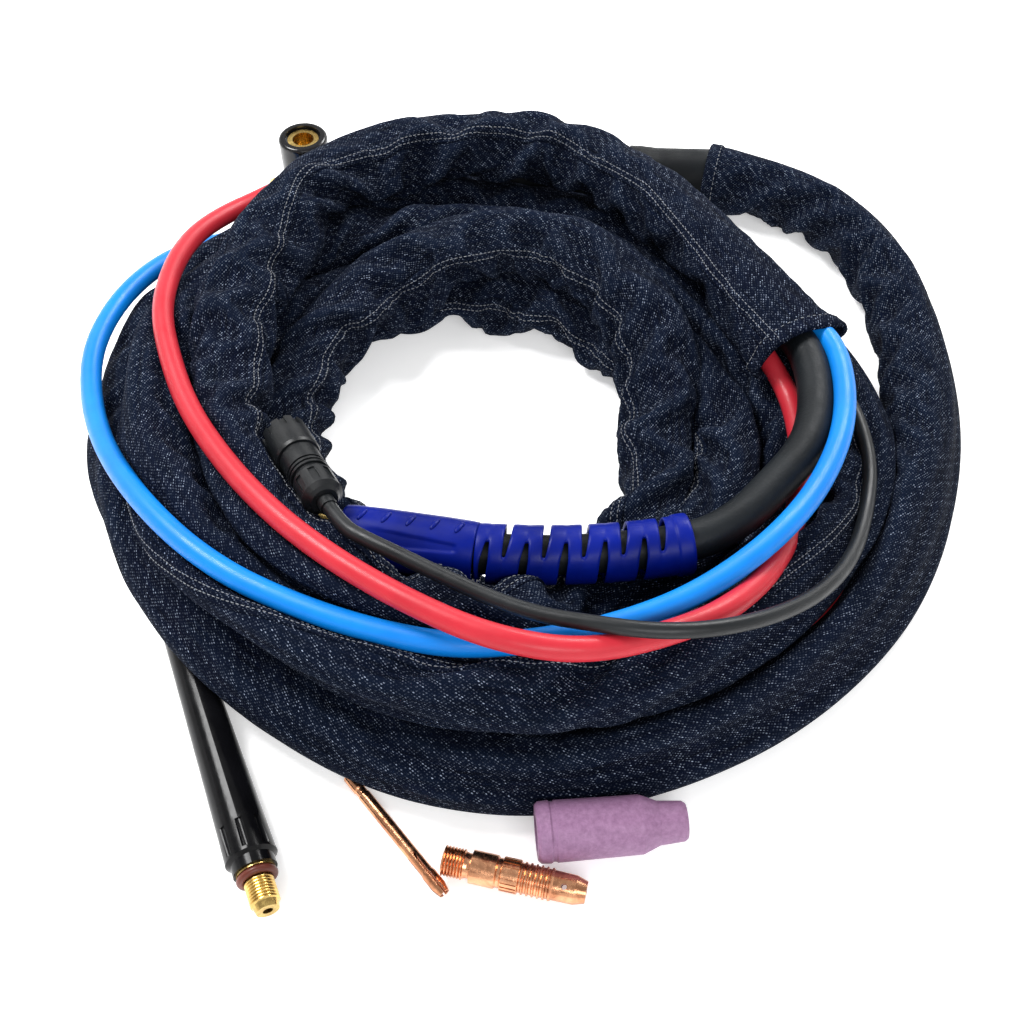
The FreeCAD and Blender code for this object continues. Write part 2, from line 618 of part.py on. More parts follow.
def collet():
    """Split collet for a 2.4 mm electrode: a stepped rear end and a slotted, tapered front."""
    way = COLLET_FRONT - COLLET_REAR
    n = way.Length
    tube_body = turned([(0, 1.25), (0, 1.9), (0.4, 2.15), (6, 2.15), (6.6, 1.85), (8.2, 1.85),
                        (8.8, 2.1), (n - 9, 2.1), (n - 8, 2.4), (n - 3, 2.4), (n, 1.7), (n, 1.25)])
    slots = [box(n - 16, n + 1, -0.35, 0.35, -4, 4), box(n - 16, n + 1, -4, 4, -0.35, 0.35)]
    tube_body = cut_all(tube_body, slots)
    tube_body.Placement = frame_along(COLLET_REAR, way)
    return tube_body


def collet_body():
    """Copper collet body: thread, stepped barrel, knurl, ring grooves and a drilled nose."""
    way = BODY_FRONT - BODY_REAR
    n = way.Length
    profile = [(0, 2.3), (0, 3.9)]
    for i in range(7):
        profile += [(i + 0.35, 4.75), (i + 0.65, 4.75), (i + 1.0, 4.2)]
    profile += [(8.0, 3.9), (8.8, 3.9), (9.2, 5.2), (17.0, 5.2), (17.6, 4.6), (18.6, 4.6),
                (19.0, 5.3), (24.4, 5.3)]
    for i in range(6):
        x = 24.4 + 1.7 * i
        profile += [(x + 0.35, 4.6), (x + 0.95, 4.6), (x + 1.3, 5.1), (x + 1.7, 5.1)]
    profile += [(35.2, 4.6), (n - 3.5, 4.5), (n, 3.4), (n, 1.4), (n - 5, 1.4), (n - 7, 2.3)]
    body = turned(profile)
    holes = []
    for i in range(4):
        hole = Part.makeCylinder(0.9, 6, Vector(38.6, 0, 0), Vector(0, 0, 1))
        hole.rotate(Vector(), Vector(1, 0, 0), 90 * i + 20)
        holes.append(hole)
    knurls = []
    for i in range(20):
        knurl = box(19.2, 24.2, -0.3, 0.3, 5.0, 6)
        knurl.rotate(Vector(), Vector(1, 0, 0), 18 * i)
        knurls.append(knurl)
    body = cut_all(body, holes + knurls)
    body.Placement = frame_along(BODY_REAR, way)
    return body


def nozzle():
    """Ceramic gas nozzle: threaded rear cup, groove, straight body, shoulder and narrow mouth."""
    way = NOZZLE_TIP - NOZZLE_REAR
    n = way.Length
    cup = turned([(0, 5.8), (0, 8.6), (1.0, 9.5), (4.2, 9.7), (4.8, 9.2), (5.6, 9.2), (6.2, 9.6),
                  (33.0, 9.2), (38.5, 6.9), (n - 1, 6.3), (n, 5.6), (n, 4.8), (34, 4.8),
                  (28, 6.2), (12, 6.2), (12, 5.8)])
    cup.Placement = frame_along(NOZZLE_REAR, way)
    return cup


# ---------------------------------------------------------------- write every node
def main():
    os.makedirs("parts", exist_ok=True)
    torch = {
        "head_core": head_core(),
        "head_insulator": head_insulator(),
        "front_gasket": front_gasket(),
        "power_gas_tube": neck_tube(0),
        "water_in_tube": neck_tube(1),
        "water_return_tube": neck_tube(2),
        "handle_left_shell": handle_shell(1),
        "handle_right_shell": handle_shell(-1),
        "handle_screws": handle_screws(),
        "trigger_button": trigger_button(),
        "trigger_switch": trigger_switch(),
        "trigger_spring": trigger_spring(),
    }
    for name, shape in torch.items():
        write(name, placed(shape))

    write("plug_grip", plug_grip())
    write("plug_strain_relief", strain_relief())
    write("plug_pin", plug_pin())
    write("plug_pin_seal", plug_pin_seal())
    write("plug_grub_screws", plug_grub_screws())
    write("plug_ferrule", plug_ferrule())

    write("control_plug_shell", control_shell())
    write("control_plug_ring", control_ring())
    write("control_plug_insert", control_insert())
    write("control_plug_contacts", control_contacts())
    write("control_plug_nut", control_nut())
    write("control_plug_gland", control_gland())

    for colour, route in (("blue", BLUE_ROUTE), ("red", RED_ROUTE)):
        write(colour + "_hose", tube(colour + "_hose", route, HOSE_R))
        write(colour + "_hose_ferrule", hose_ferrule(route))
        write(colour + "_hose_nipple", hose_nipple(route))
    write("power_cable", tube("power_cable", POWER_ROUTE, POWER_R))
    write("control_cable", tube("control_cable", CONTROL_ROUTE, CONTROL_R))

    write("sleeve_coil", sleeve_coil())
    write("sleeve_torch_end", tube("sleeve_torch_end", TORCH_END_ROUTE, SLEEVE_R))
    write("sleeve_machine_end", tube("sleeve_machine_end", MACHINE_END_ROUTE, SLEEVE_HEM_R))

    write("back_cap", back_cap())
    write("back_cap_thread", back_cap_thread())
    write("back_cap_seal", back_cap_seal())
    write("collet", collet())
    write("collet_body", collet_body())
    write("nozzle", nozzle())


main()
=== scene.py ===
"""Looks of the water-cooled TIG torch with its coiled, denim-sleeved lead set."""
import math
import bpy
import numpy as np
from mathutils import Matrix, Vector


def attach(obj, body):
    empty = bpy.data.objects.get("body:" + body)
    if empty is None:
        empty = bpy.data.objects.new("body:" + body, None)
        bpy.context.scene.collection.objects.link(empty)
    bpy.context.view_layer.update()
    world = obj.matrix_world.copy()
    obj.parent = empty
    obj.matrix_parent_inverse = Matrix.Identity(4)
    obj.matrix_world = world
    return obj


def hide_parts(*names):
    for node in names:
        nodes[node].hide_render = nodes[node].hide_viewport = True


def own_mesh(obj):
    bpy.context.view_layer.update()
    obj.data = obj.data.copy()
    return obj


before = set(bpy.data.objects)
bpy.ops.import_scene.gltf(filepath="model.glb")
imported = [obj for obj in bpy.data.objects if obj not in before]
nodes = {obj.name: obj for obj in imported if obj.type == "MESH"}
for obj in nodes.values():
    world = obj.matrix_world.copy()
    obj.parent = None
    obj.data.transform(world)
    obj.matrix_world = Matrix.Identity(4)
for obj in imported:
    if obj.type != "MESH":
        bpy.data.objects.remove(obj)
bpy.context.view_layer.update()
scene = bpy.context.scene
MM = 0.001
ORIGIN = np.array([-20.6, 20.5, 0.0])      # the row's origin in the layout's millimetres


def place(points):
    """Layout millimetres to the row frame's metres."""
    return (np.asarray(points, float) - ORIGIN) * MM


def link(name, data):
    obj = bpy.data.objects.new(name, data)
    scene.collection.objects.link(obj)
    return obj


def mesh_object(name, verts, faces, material=None, smooth=True):
    """A mesh from arrays, in the row frame."""
    mesh = bpy.data.meshes.new(name)
    mesh.from_pydata([tuple(v) for v in np.asarray(verts, float)], [], [tuple(int(i) for i in f) for f in faces])
    mesh.validate()
    if smooth:
        mesh.shade_smooth()
    obj = link(name, mesh)
    if material:
        mesh.materials.append(material)
    return obj


# ---------------------------------------------------------------- camera, lights, floor
CAMERA_LENS, CAMERA_ELEVATION, CAMERA_DISTANCE = 45.7, 52.0, 0.496
target = Vector(place((0, 0, 0)))
tilt = math.radians(CAMERA_ELEVATION)
camera = link("camera", bpy.data.cameras.new("camera"))
camera.data.lens = CAMERA_LENS
camera.data.sensor_width = 36.0
camera.data.clip_start = 0.01
camera.location = target + CAMERA_DISTANCE * Vector((0, -math.cos(tilt), math.sin(tilt)))
camera.rotation_euler = (math.pi / 2 - tilt, 0, 0)
scene.camera = camera

world = bpy.data.worlds.new("studio")
world.use_nodes = True
world.node_tree.nodes["Background"].inputs["Color"].default_value = (1, 1, 1, 1)
world.node_tree.nodes["Background"].inputs["Strength"].default_value = 0.5
scene.world = world
scene.view_settings.view_transform = "Standard"


def softbox(name, at, size, power, aim=(0, 0, 0.02)):
    lamp = link(name, bpy.data.lights.new(name, "AREA"))
    lamp.data.shape = "RECTANGLE"
    lamp.data.size, lamp.data.size_y = size
    lamp.data.energy = power
    lamp.location = at
    lamp.rotation_euler = (Vector(at) - Vector(aim)).to_track_quat("Z", "Y").to_euler()


softbox("key_softbox", (-0.55, 0.35, 0.95), (0.5, 0.35), 15.0)
softbox("back_softbox", (0.45, 0.75, 0.7), (0.6, 0.25), 9.0)
softbox("front_softbox", (0.25, -0.9, 0.8), (0.8, 0.4), 7.0)


# ---------------------------------------------------------------- materials
class Look:
    """A Principled material with small helpers for its node network."""

    def __init__(self, name, color, rough=0.5, metal=0.0, coat=0.0, coat_rough=0.1, sheen=0.0, ior=1.5, spec=0.5):
        self.material = bpy.data.materials.new(name)
        self.material.use_nodes = True
        self.tree = self.material.node_tree
        self.shader = self.tree.nodes["Principled BSDF"]
        self.coords = None
        for key, value in (("Base Color", (*color, 1)), ("Roughness", rough), ("Metallic", metal),
                           ("Coat Weight", coat), ("Coat Roughness", coat_rough), ("Sheen Weight", sheen),
                           ("IOR", ior), ("Specular IOR Level", spec)):
            self.shader.inputs[key].default_value = value

    def node(self, kind, **values):
        made = self.tree.nodes.new(kind)
        for key, value in values.items():
            if key in made.inputs:
                self.feed(made.inputs[key], value)
            else:
                setattr(made, key, value)
        return made

    def feed(self, socket, value):
        if isinstance(value, bpy.types.NodeSocket):
            self.tree.links.new(value, socket)
        else:
            socket.default_value = value

    def where(self):
        if self.coords is None:
            self.coords = self.node("ShaderNodeTexCoord").outputs["Object"]
        return self.coords

    def stretch(self, vector, scale, turn=(0, 0, 0)):
        return self.node("ShaderNodeMapping", Vector=vector, Scale=scale, Rotation=turn).outputs["Vector"]

    def noise(self, scale, detail=3.0, rough=0.55, vector=None, distort=0.0):
        return self.node("ShaderNodeTexNoise", Vector=vector or self.where(), Scale=scale, Detail=detail,
                         Roughness=rough, Distortion=distort).outputs["Fac"]

    def ramp(self, fac, stops):
        made = self.node("ShaderNodeValToRGB", Fac=fac)
        elements = made.color_ramp.elements
        while len(elements) < len(stops):
            elements.new(0.5)
        for element, (at, color) in zip(elements, stops):
            element.position = at
            element.color = (*color, 1) if hasattr(color, "__len__") else (color, color, color, 1)
        return made.outputs["Color"]

    def math(self, what, a, b=0.0, clamp=False):
        made = self.node("ShaderNodeMath", operation=what, use_clamp=clamp)
        self.feed(made.inputs[0], a)
        self.feed(made.inputs[1], b)
        return made.outputs[0]

    def mix(self, fac, a, b, blend="MIX"):
        made = self.node("ShaderNodeMix", data_type="RGBA", blend_type=blend)
        self.feed(made.inputs["Factor"], fac)
        for socket, value in ((made.inputs[6], a), (made.inputs[7], b)):
            self.feed(socket, (*value, 1) if isinstance(value, tuple) else value)
        return made.outputs[2]

    def color(self, socket):
        self.tree.links.new(socket, self.shader.inputs["Base Color"])
        return self

    def rough(self, socket):
        self.tree.links.new(socket, self.shader.inputs["Roughness"])
        return self

    def bump(self, height, strength, distance, normal=None):
        made = self.node("ShaderNodeBump", Height=height, Strength=strength, Distance=distance)
        if normal:
            self.tree.links.new(normal, made.inputs["Normal"])
        self.tree.links.new(made.outputs["Normal"], self.shader.inputs["Normal"])
        return made.outputs["Normal"]


def plastic(name, dark, light, rough, grain, bump, coat=0.0, spec=0.5):
    """Moulded plastic or rubber: a slow colour change, uneven gloss and a fine grain."""
    look = Look(name, light, rough, coat=coat, spec=spec)
    look.color(look.mix(look.ramp(look.noise(45, 4), [(0.35, 0.0), (0.7, 1.0)]), dark, light))
    look.rough(look.ramp(look.noise(160, 5, 0.7), [(0.3, max(rough - 0.09, 0.03)), (0.7, rough + 0.1)]))
    look.bump(look.noise(grain, 3, 0.6), bump, 0.0003)
    return look


def metal(name, base, dull, rough, turned_scale=2600.0):
    """Turned metal: tarnish patches and fine tool marks."""
    look = Look(name, base, rough, metal=1.0)
    patches = look.ramp(look.noise(140, 6, 0.65, distort=0.6), [(0.38, 0.0), (0.68, 1.0)])
    look.color(look.mix(patches, base, dull))
    look.rough(look.ramp(look.noise(700, 4, 0.7), [(0.25, max(rough - 0.1, 0.05)), (0.75, rough + 0.16)]))
    look.bump(look.noise(turned_scale, 2, 0.5), 0.12, 0.0002)
    return look


def denim_look(name, warp, weft, worn):
    """Indigo twill drawn in its own UV map, which is in metres: along the sleeve and round it."""
    look = Look(name, warp, 0.92, spec=0.05)
    uv = look.node("ShaderNodeUVMap", uv_map="weave").outputs["UV"]
    parts = look.node("ShaderNodeSeparateXYZ", Vector=uv)
    along, around = parts.outputs["X"], parts.outputs["Y"]
    wobble = look.math("MULTIPLY", look.noise(420, 2, 0.5), 0.0007)
    slope = look.math("ADD", look.math("ADD", along, look.math("MULTIPLY", around, 1.7)), wobble)
    twill = look.math("SINE", look.math("MULTIPLY", slope, 2 * math.pi / 0.00145))
    cell = look.node("ShaderNodeTexVoronoi", Vector=look.stretch(uv, (0.72, 1.0, 1.0), (0, 0, 0.6)),
                     Scale=1180.0, feature="F1", Randomness=0.32)
    spot = look.ramp(cell.outputs["Distance"], [(0.0, 1.0), (0.20, 0.8), (0.38, 0.0)])
    luck = look.node("ShaderNodeSeparateColor", Color=cell.outputs["Color"]).outputs[0]
    spot = look.math("MULTIPLY", spot, look.ramp(luck, [(0.0, 0.04), (0.5, 0.34), (0.96, 1.0)]))
    streak = look.noise(1.0, 3, 0.6, vector=look.stretch(uv, (60.0, 640.0, 1.0)))
    patch = look.noise(95, 4, 0.6)
    show = look.math("MULTIPLY", spot, look.ramp(twill, [(0.05, 0.10), (0.75, 1.0)]))
    show = look.math("MULTIPLY", show, look.ramp(streak, [(0.34, 0.45), (0.66, 1.0)]))
    show = look.math("MULTIPLY", show, look.ramp(patch, [(0.34, 0.7), (0.66, 1.0)]))
    pale, deep = tuple(1.5 * c for c in warp), tuple(0.5 * c for c in warp)
    base = look.mix(look.ramp(streak, [(0.3, 0.0), (0.75, 1.0)]), deep, pale)
    wear = look.node("ShaderNodeAttribute", attribute_name="wear").outputs["Fac"]
    base = look.mix(look.math("MULTIPLY", wear, look.ramp(patch, [(0.3, 0.25), (0.7, 0.8)])), base, worn)
    look.color(look.mix(show, base, weft))
    height = look.math("ADD", look.math("MULTIPLY", twill, 0.4), look.math("MULTIPLY", spot, 0.7))
    fine = look.bump(height, 0.4, 0.0003)
    look.bump(look.noise(240, 4, 0.6), 0.25, 0.0012, fine)
    return look


def stitch_look():
    look = Look("stitching_thread", (0.62, 0.60, 0.55), 0.8, sheen=0.2)
    look.color(look.ramp(look.noise(900, 3), [(0.3, (0.08, 0.09, 0.11)), (0.65, (0.23, 0.24, 0.26))]))
    look.bump(look.noise(2400, 2), 0.5, 0.0002)
    return look


denim = denim_look("denim", (0.0010, 0.0026, 0.0090), (0.46, 0.54, 0.70), (0.004, 0.008, 0.020))
thread = stitch_look()
looks = {
    "power_rubber": plastic("power_rubber", (0.004, 0.0055, 0.007), (0.009, 0.0115, 0.014), 0.5, 900, 0.35, spec=0.18),
    "control_rubber": plastic("control_rubber", (0.006, 0.007, 0.008), (0.011, 0.013, 0.015), 0.38, 1500, 0.15, spec=0.3),
    "hose_blue": plastic("hose_blue", (0.001, 0.170, 0.60), (0.001, 0.205, 0.69), 0.40, 260, 0.10, coat=0.04, spec=0.26),
    "hose_red": plastic("hose_red", (0.43, 0.017, 0.029), (0.51, 0.022, 0.036), 0.40, 260, 0.10, coat=0.04, spec=0.26),
    "plug_blue": plastic("plug_blue", (0.0005, 0.0055, 0.125), (0.0007, 0.0090, 0.200), 0.38, 1400, 0.12, spec=0.12),
    "plug_black": plastic("plug_black", (0.004, 0.005, 0.006), (0.012, 0.013, 0.015), 0.36, 2200, 0.18, spec=0.3),
    "head_black": plastic("head_black", (0.004, 0.004, 0.005), (0.009, 0.009, 0.010), 0.2, 500, 0.06, coat=0.15, spec=0.25),
    "cap_black": plastic("cap_black", (0.002, 0.002, 0.0025), (0.004, 0.004, 0.005), 0.2, 380, 0.07, spec=0.16),
    "handle_black": plastic("handle_black", (0.002, 0.003, 0.004), (0.004, 0.006, 0.0075), 0.5, 2600, 0.4, spec=0.11),
    "trigger_grey": plastic("trigger_grey", (0.012, 0.012, 0.014), (0.024, 0.024, 0.027), 0.42, 2200, 0.2, spec=0.3),
    "gasket": plastic("gasket", (0.42, 0.41, 0.37), (0.56, 0.55, 0.50), 0.55, 1200, 0.2),
    "seal_red": plastic("seal_red", (0.085, 0.018, 0.011), (0.16, 0.034, 0.020), 0.38, 1500, 0.12, spec=0.3),
    "insert_black": plastic("insert_black", (0.006, 0.006, 0.006), (0.012, 0.012, 0.012), 0.5, 1800, 0.15, spec=0.25),
    "ceramic": plastic("ceramic", (0.22, 0.11, 0.21), (0.28, 0.15, 0.27), 0.5, 2400, 0.22, spec=0.3),
    "brass": metal("brass", (0.80, 0.58, 0.20), (0.45, 0.29, 0.09), 0.24),
    "copper": metal("copper", (0.80, 0.40, 0.22), (0.40, 0.16, 0.08), 0.2),
    "steel": metal("steel", (0.55, 0.55, 0.56), (0.34, 0.33, 0.32), 0.3),
}
ceramic = looks["ceramic"]
blotch = ceramic.ramp(ceramic.noise(520, 5, 0.75), [(0.34, 0.0), (0.7, 1.0)])
ceramic.color(ceramic.mix(blotch, (0.200, 0.098, 0.190), (0.300, 0.165, 0.285)))
floor_look = Look("studio_floor", (0.93, 0.93, 0.93), 0.6)
floor_look.bump(floor_look.noise(30, 2), 0.02, 0.001)
floor_look.shader.inputs["Emission Color"].default_value = (1, 1, 1, 1)
floor_look.shader.inputs["Emission Strength"].default_value = 0.35



def studio_sweep(sides=64, flat=4.0, bend=1.5, height=2.5):
    """A round floor whose far rim curves up into a low wall."""
    profile = [(flat + bend * math.sin(a), bend * (1 - math.cos(a)))
               for a in np.linspace(0, math.pi / 2, 12)] + [(flat + bend, height)]
    turns = 2 * np.pi * np.arange(sides) / sides
    verts = [(r * math.cos(t), r * math.sin(t), z - 0.0004) for r, z in profile for t in turns]
    faces = [tuple(range(sides))]
    for k in range(len(profile) - 1):
        for j in range(sides):
            n = (j + 1) % sides
            faces.append((k * sides + j, (k + 1) * sides + j, (k + 1) * sides + n, k * sides + n))
    sweep = mesh_object("studio_floor", verts, faces, floor_look.material)
    sweep.data.polygons[0].use_smooth = False
    return sweep


studio_sweep()

NODE_LOOKS = {
    "head_core": "brass", "head_insulator": "head_black", "front_gasket": "gasket", "power_gas_tube": "copper",
    "water_in_tube": "copper", "water_return_tube": "copper", "handle_left_shell": "handle_black",
    "handle_right_shell": "handle_black", "handle_screws": "steel", "trigger_button": "trigger_grey",
    "trigger_switch": "insert_black", "trigger_spring": "steel", "plug_grip": "plug_blue",
    "plug_strain_relief": "plug_blue", "plug_pin": "brass", "plug_pin_seal": "seal_red", "plug_grub_screws": "steel",
    "plug_ferrule": "copper", "control_plug_shell": "plug_black", "control_plug_ring": "plug_black",
    "control_plug_insert": "insert_black", "control_plug_contacts": "brass", "control_plug_nut": "plug_black",
    "control_plug_gland": "control_rubber", "blue_hose": "hose_blue", "blue_hose_ferrule": "brass",
    "blue_hose_nipple": "steel", "red_hose": "hose_red", "red_hose_ferrule": "brass", "red_hose_nipple": "steel",
    "power_cable": "power_rubber", "control_cable": "control_rubber", "back_cap": "cap_black",
    "back_cap_thread": "brass", "back_cap_seal": "seal_red", "collet": "copper", "collet_body": "copper",
    "nozzle": "ceramic",
}
for name, look in NODE_LOOKS.items():
    mesh = nodes[name].data
    mesh.materials.clear()
    mesh.materials.append(looks[look].material)
for name in ("sleeve_coil", "sleeve_torch_end", "sleeve_machine_end"):
    nodes[name].data.materials.clear()
    nodes[name].data.materials.append(denim.material)


# ---------------------------------------------------------------- routes, in layout millimetres
# middle of the sleeve, from the handle's rear round the coil to the open hem at the machine end
SLEEVE_ROUTE = [
    (92, 185, 14), (118, 178, 14), (141, 160, 14), (156, 135, 14), (163, 106, 14), (164, 75, 14),
    (160, 40, 13.5), (150, -2, 13), (135, -34, 13), (117, -58, 13), (88, -82, 13), (56, -98, 13),
    (26, -107.5, 13), (-3, -108.5, 13), (-32, -104.5, 13), (-63, -90.5, 13.5), (-90, -72, 17), (-116, -45, 20),
    (-135, -13, 17.5), (-146, 20, 13.5), (-147.5, 50, 13), (-144, 83, 13), (-131, 110, 13), (-105.5, 135, 13),
    (-77, 154.5, 13), (-33, 166, 13), (5, 159, 13), (52, 142, 13), (89, 109, 13), (119, 71, 13), (134, 25, 13.5),
    (123, -23, 17), (92, -62, 23), (51, -90, 30), (5, -101, 34), (-41, -91.5, 35), (-84, -65, 35.5),
    (-115, -24, 34.5), (-128, 25, 33.5), (-124, 77, 31), (-93, 123, 25), (-41, 138, 17), (5, 134, 13),
    (43, 119, 13), (72, 92, 13), (96, 62, 13), (108, 25, 13), (103, -15, 13), (81, -51, 13), (47, -78, 13),
    (5, -89, 13), (-37, -80, 13), (-74, -54, 13), (-107, -20, 13), (-122, 25, 13), (-110, 71, 13),
    (-76, 106, 13), (-32, 116, 13), (5, 110, 13), (35, 98, 13), (58, 78, 13), (74, 53, 13), (81, 25, 13),
    (78, -5, 13), (64, -32, 13), (41, -56, 13), (10, -66, 13), (-25, -60, 13), (-54, -38, 13), (-77, -8, 13),
    (-88, 25, 13), (-85, 61, 15), (-65, 95, 23), (-31, 115, 31), (5, 117, 34), (35, 99, 33.5), (54, 74, 31),
    (59, 47, 23), (57, 25, 15.5), (57, 4, 13.5), (52, -18, 13), (41, -39, 13), (23, -60, 18), (3, -75, 29),
    (-19, -79, 36), (-42, -72, 39), (-63, -58.5, 42.5), (-80.5, -41, 43), (-94.5, -14.5, 40.5), (-104.5, 6, 39),
    (-106, 33, 42), (-107, 62, 44.5), (-104, 92, 44), (-95, 122, 43.5), (-78, 147, 42.5), (-55, 163, 42),
    (-28, 171, 41.5), (2, 172, 41.5), (30, 162, 42), (54, 141, 42.5), (73, 114, 43), (89.5, 84, 43),
    (103, 55, 43), (107, 47, 43)]
# the leads' free ends, as in the solids
POWER_END = [(111.5, 41, 43), (111.5, 17, 43), (104.5, -5, 43), (90, -22, 42), (79, -34, 41.4), (66, -42.4, 40.4),
             (50, -46.0, 39.6), (28, -48.2, 39.1), (12, -48.6, 38.6), (-2, -47.8, 38.2), (-14, -46.8, 38)]
BLUE_END = [(120.5, 46, 46), (121.3, 22, 48), (116.3, -3, 48), (104, -28, 49), (88, -49, 51.5), (70, -65.5, 52.5),
            (53, -77, 53), (35, -84.8, 53), (17, -90, 53), (-1, -92, 52), (-18, -92.5, 52), (-35, -89, 51.5),
            (-53, -83.5, 51.5), (-71, -76, 51.5), (-90, -66, 51.5), (-109, -51, 51), (-128, -29, 47),
            (-146, -1, 39), (-158, 28, 33.5), (-163, 55, 32), (-159.5, 80, 31), (-152, 102, 28), (-142.5, 124, 20.5),
            (-128, 143, 11.5), (-109, 153, 7.4), (-94, 162, 7.4)]
RED_END = [(104, 35, 31.5), (106, 14, 31), (103.5, -10, 31), (98, -31, 34.5), (90, -49.5, 41.5), (79, -67, 47),
           (64, -82, 53), (47.5, -90.5, 55.5), (30, -97, 58), (15, -100, 61.5), (0, -98, 63), (-14, -93, 63),
           (-29, -84.5, 62), (-45, -74, 61), (-61, -62, 60.5), (-78, -46, 59), (-97, -22, 55), (-115, 7, 51.3),
           (-126, 34, 51), (-133, 58, 50), (-134, 84, 47), (-131, 109, 42), (-122, 129, 37), (-108, 145, 33.4),
           (-95, 157, 32.9)]
CONTROL_END = [(122, 42, 33), (129, 21, 31.5), (130, -3, 31), (124, -26, 32.5), (114, -50, 39), (100, -69, 47),
               (84, -82.5, 55), (68, -91, 61), (53, -95, 64), (39, -95, 64.5), (25, -92, 63.5), (10, -88, 61.5),
               (-4, -82, 60.5), (-19, -74, 60.5), (-33, -66, 60.8), (-46, -58.5, 60.6), (-55, -51.7, 58.9),
               (-61.95, -38.2, 55.8)]
# pieces that lie on the coil or under its edge: two ends of the middle, radius at each end
GRIP_FRONT, GRIP_REAR, RELIEF_END = (-57.8, -39.2, 38), (-10.8, -47.3, 38), (59.8, -44.6, 39.8)
LYING = [(GRIP_FRONT, GRIP_REAR, 10.6, 11.2), (GRIP_REAR, RELIEF_END, 10.6, 10.8),
         ((-61.5, -39.1, 56), (-79.8, -3.2, 48), 7.5, 10.5),
         ((-130, -26, 5.5), (-73.4, -159.2, 8.9), 5.2, 8.9),
         ((-53.4, -111.6, 2.45), (-20.8, -151.2, 2.45), 2.4, 2.4),
         ((-94, 162, 7.4), (-66, 182, 7.4), 5.6, 7.2)]


def travel_frames(line):
    """Unit vectors at each point of a line: forward, to the right, and up from both."""
    forward = np.gradient(line, axis=0)
    forward /= np.linalg.norm(forward, axis=1)[:, None]
    right = np.cross(forward, (0, 0, 1.0))
    right /= np.linalg.norm(right, axis=1)[:, None]
    return forward, right, np.cross(right, forward)


def lead_route(in_bundle, at_mouth, free_end):
    """A lead's control points: beside the sleeve's middle, spreading at its mouth, then its free end."""
    middle = np.array(SLEEVE_ROUTE[:-1], float)
    _, right, up = travel_frames(middle)
    offsets = np.array([in_bundle] * (len(middle) - len(at_mouth)) + at_mouth, float)
    offsets[:2] *= [[0.45], [0.8]]
    inside = middle + offsets[:, :1] * right + offsets[:, 1:] * up
    return np.vstack([inside, free_end])


def cable(name, points, radius, look):
    """A round lead along a NURBS route, drawn as a bevelled curve."""
    data = bpy.data.curves.new(name, "CURVE")
    data.dimensions = "3D"
    data.resolution_u = 10
    data.bevel_depth = radius * MM
    data.bevel_resolution = 7
    data.use_fill_caps = True
    spline = data.splines.new("NURBS")
    where = place(points)
    spline.points.add(len(where) - 1)
    for point, at in zip(spline.points, where):
        point.co = (*at, 1)
    spline.order_u = 3
    spline.use_endpoint_u = True
    obj = link(name, data)
    data.materials.append(looks[look].material)
    return obj


def route_line(points, per_point=12):
    """Points of the NURBS spline through a route's control points, as Blender evaluates it, in millimetres."""
    data = bpy.data.curves.new("route", "CURVE")
    data.dimensions = "3D"
    data.resolution_u = per_point
    spline = data.splines.new("NURBS")
    spline.points.add(len(points) - 1)
    for point, at in zip(spline.points, points):
        point.co = (*[float(x) for x in at], 1)
    spline.order_u = 3
    spline.use_endpoint_u = True
    obj = link("route", data)
    bpy.context.view_layer.update()
    mesh = bpy.data.meshes.new_from_object(obj.evaluated_get(bpy.context.evaluated_depsgraph_get()))
    line = np.array([v.co for v in mesh.vertices], float)
    bpy.data.objects.remove(obj)
    bpy.data.meshes.remove(mesh)
    return line


LEADS = {
    "power": (lead_route((0, -4.6), [(-1, -3.5), (-3, -1.5)], POWER_END), 6.8),
    "blue": (lead_route((-4.05, 5.6), [(-4.6, 5.2), (-6.2, 4.0), (-9.0, 2.0)], BLUE_END), 4.0),
    "red": (lead_route((4.05, 5.6), [(6.6, 3.0), (8.8, -1.0), (9.4, -5.0)], RED_END), 4.0),
    "control": (lead_route((-8.6, 0.4), [(-9.3, -3.0), (-9.2, -6.5)], CONTROL_END), 2.6),
}
power = cable("power_lead", *LEADS["power"], "power_rubber")
blue = cable("blue_water_hose", *LEADS["blue"], "hose_blue")
red = cable("red_water_hose", *LEADS["red"], "hose_red")
control = cable("control_lead", *LEADS["control"], "control_rubber")
for piece, node, slot in ((power, "power_cable", "cable_black"), (blue, "blue_hose", "hose_blue"),
                          (red, "red_hose", "hose_red"), (control, "control_cable", "cable_black")):
    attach(piece, "torch")
    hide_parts(node)


# ---------------------------------------------------------------- the denim sleeve
SLEEVE_ROUND = 91.0         # mm round the flat sleeve
CELLS_ROUND = 26
CELL_ALONG = 4.2
CORE_R = 12.0               # the bundle of leads that the sleeve lies on
HANDLE_END_R = 13.9         # the first two rings are tied round the handle
OVER_HANDLE = 3.0
FLOOR_GAP = 1.0             # the cloth's lowest point, which leaves room for its seam
SEAM_GAP = 0.65


def along_line(line, step):
    """Points an even step apart along a line, and the line's length."""
    reach = np.concatenate([[0], np.cumsum(np.linalg.norm(np.diff(line, axis=0), axis=1))])
    count = int(round(reach[-1] / step)) + 1
    at = np.linspace(0, reach[-1], count)
    return np.stack([np.interp(at, reach, line[:, k]) for k in range(3)], 1), reach[-1]


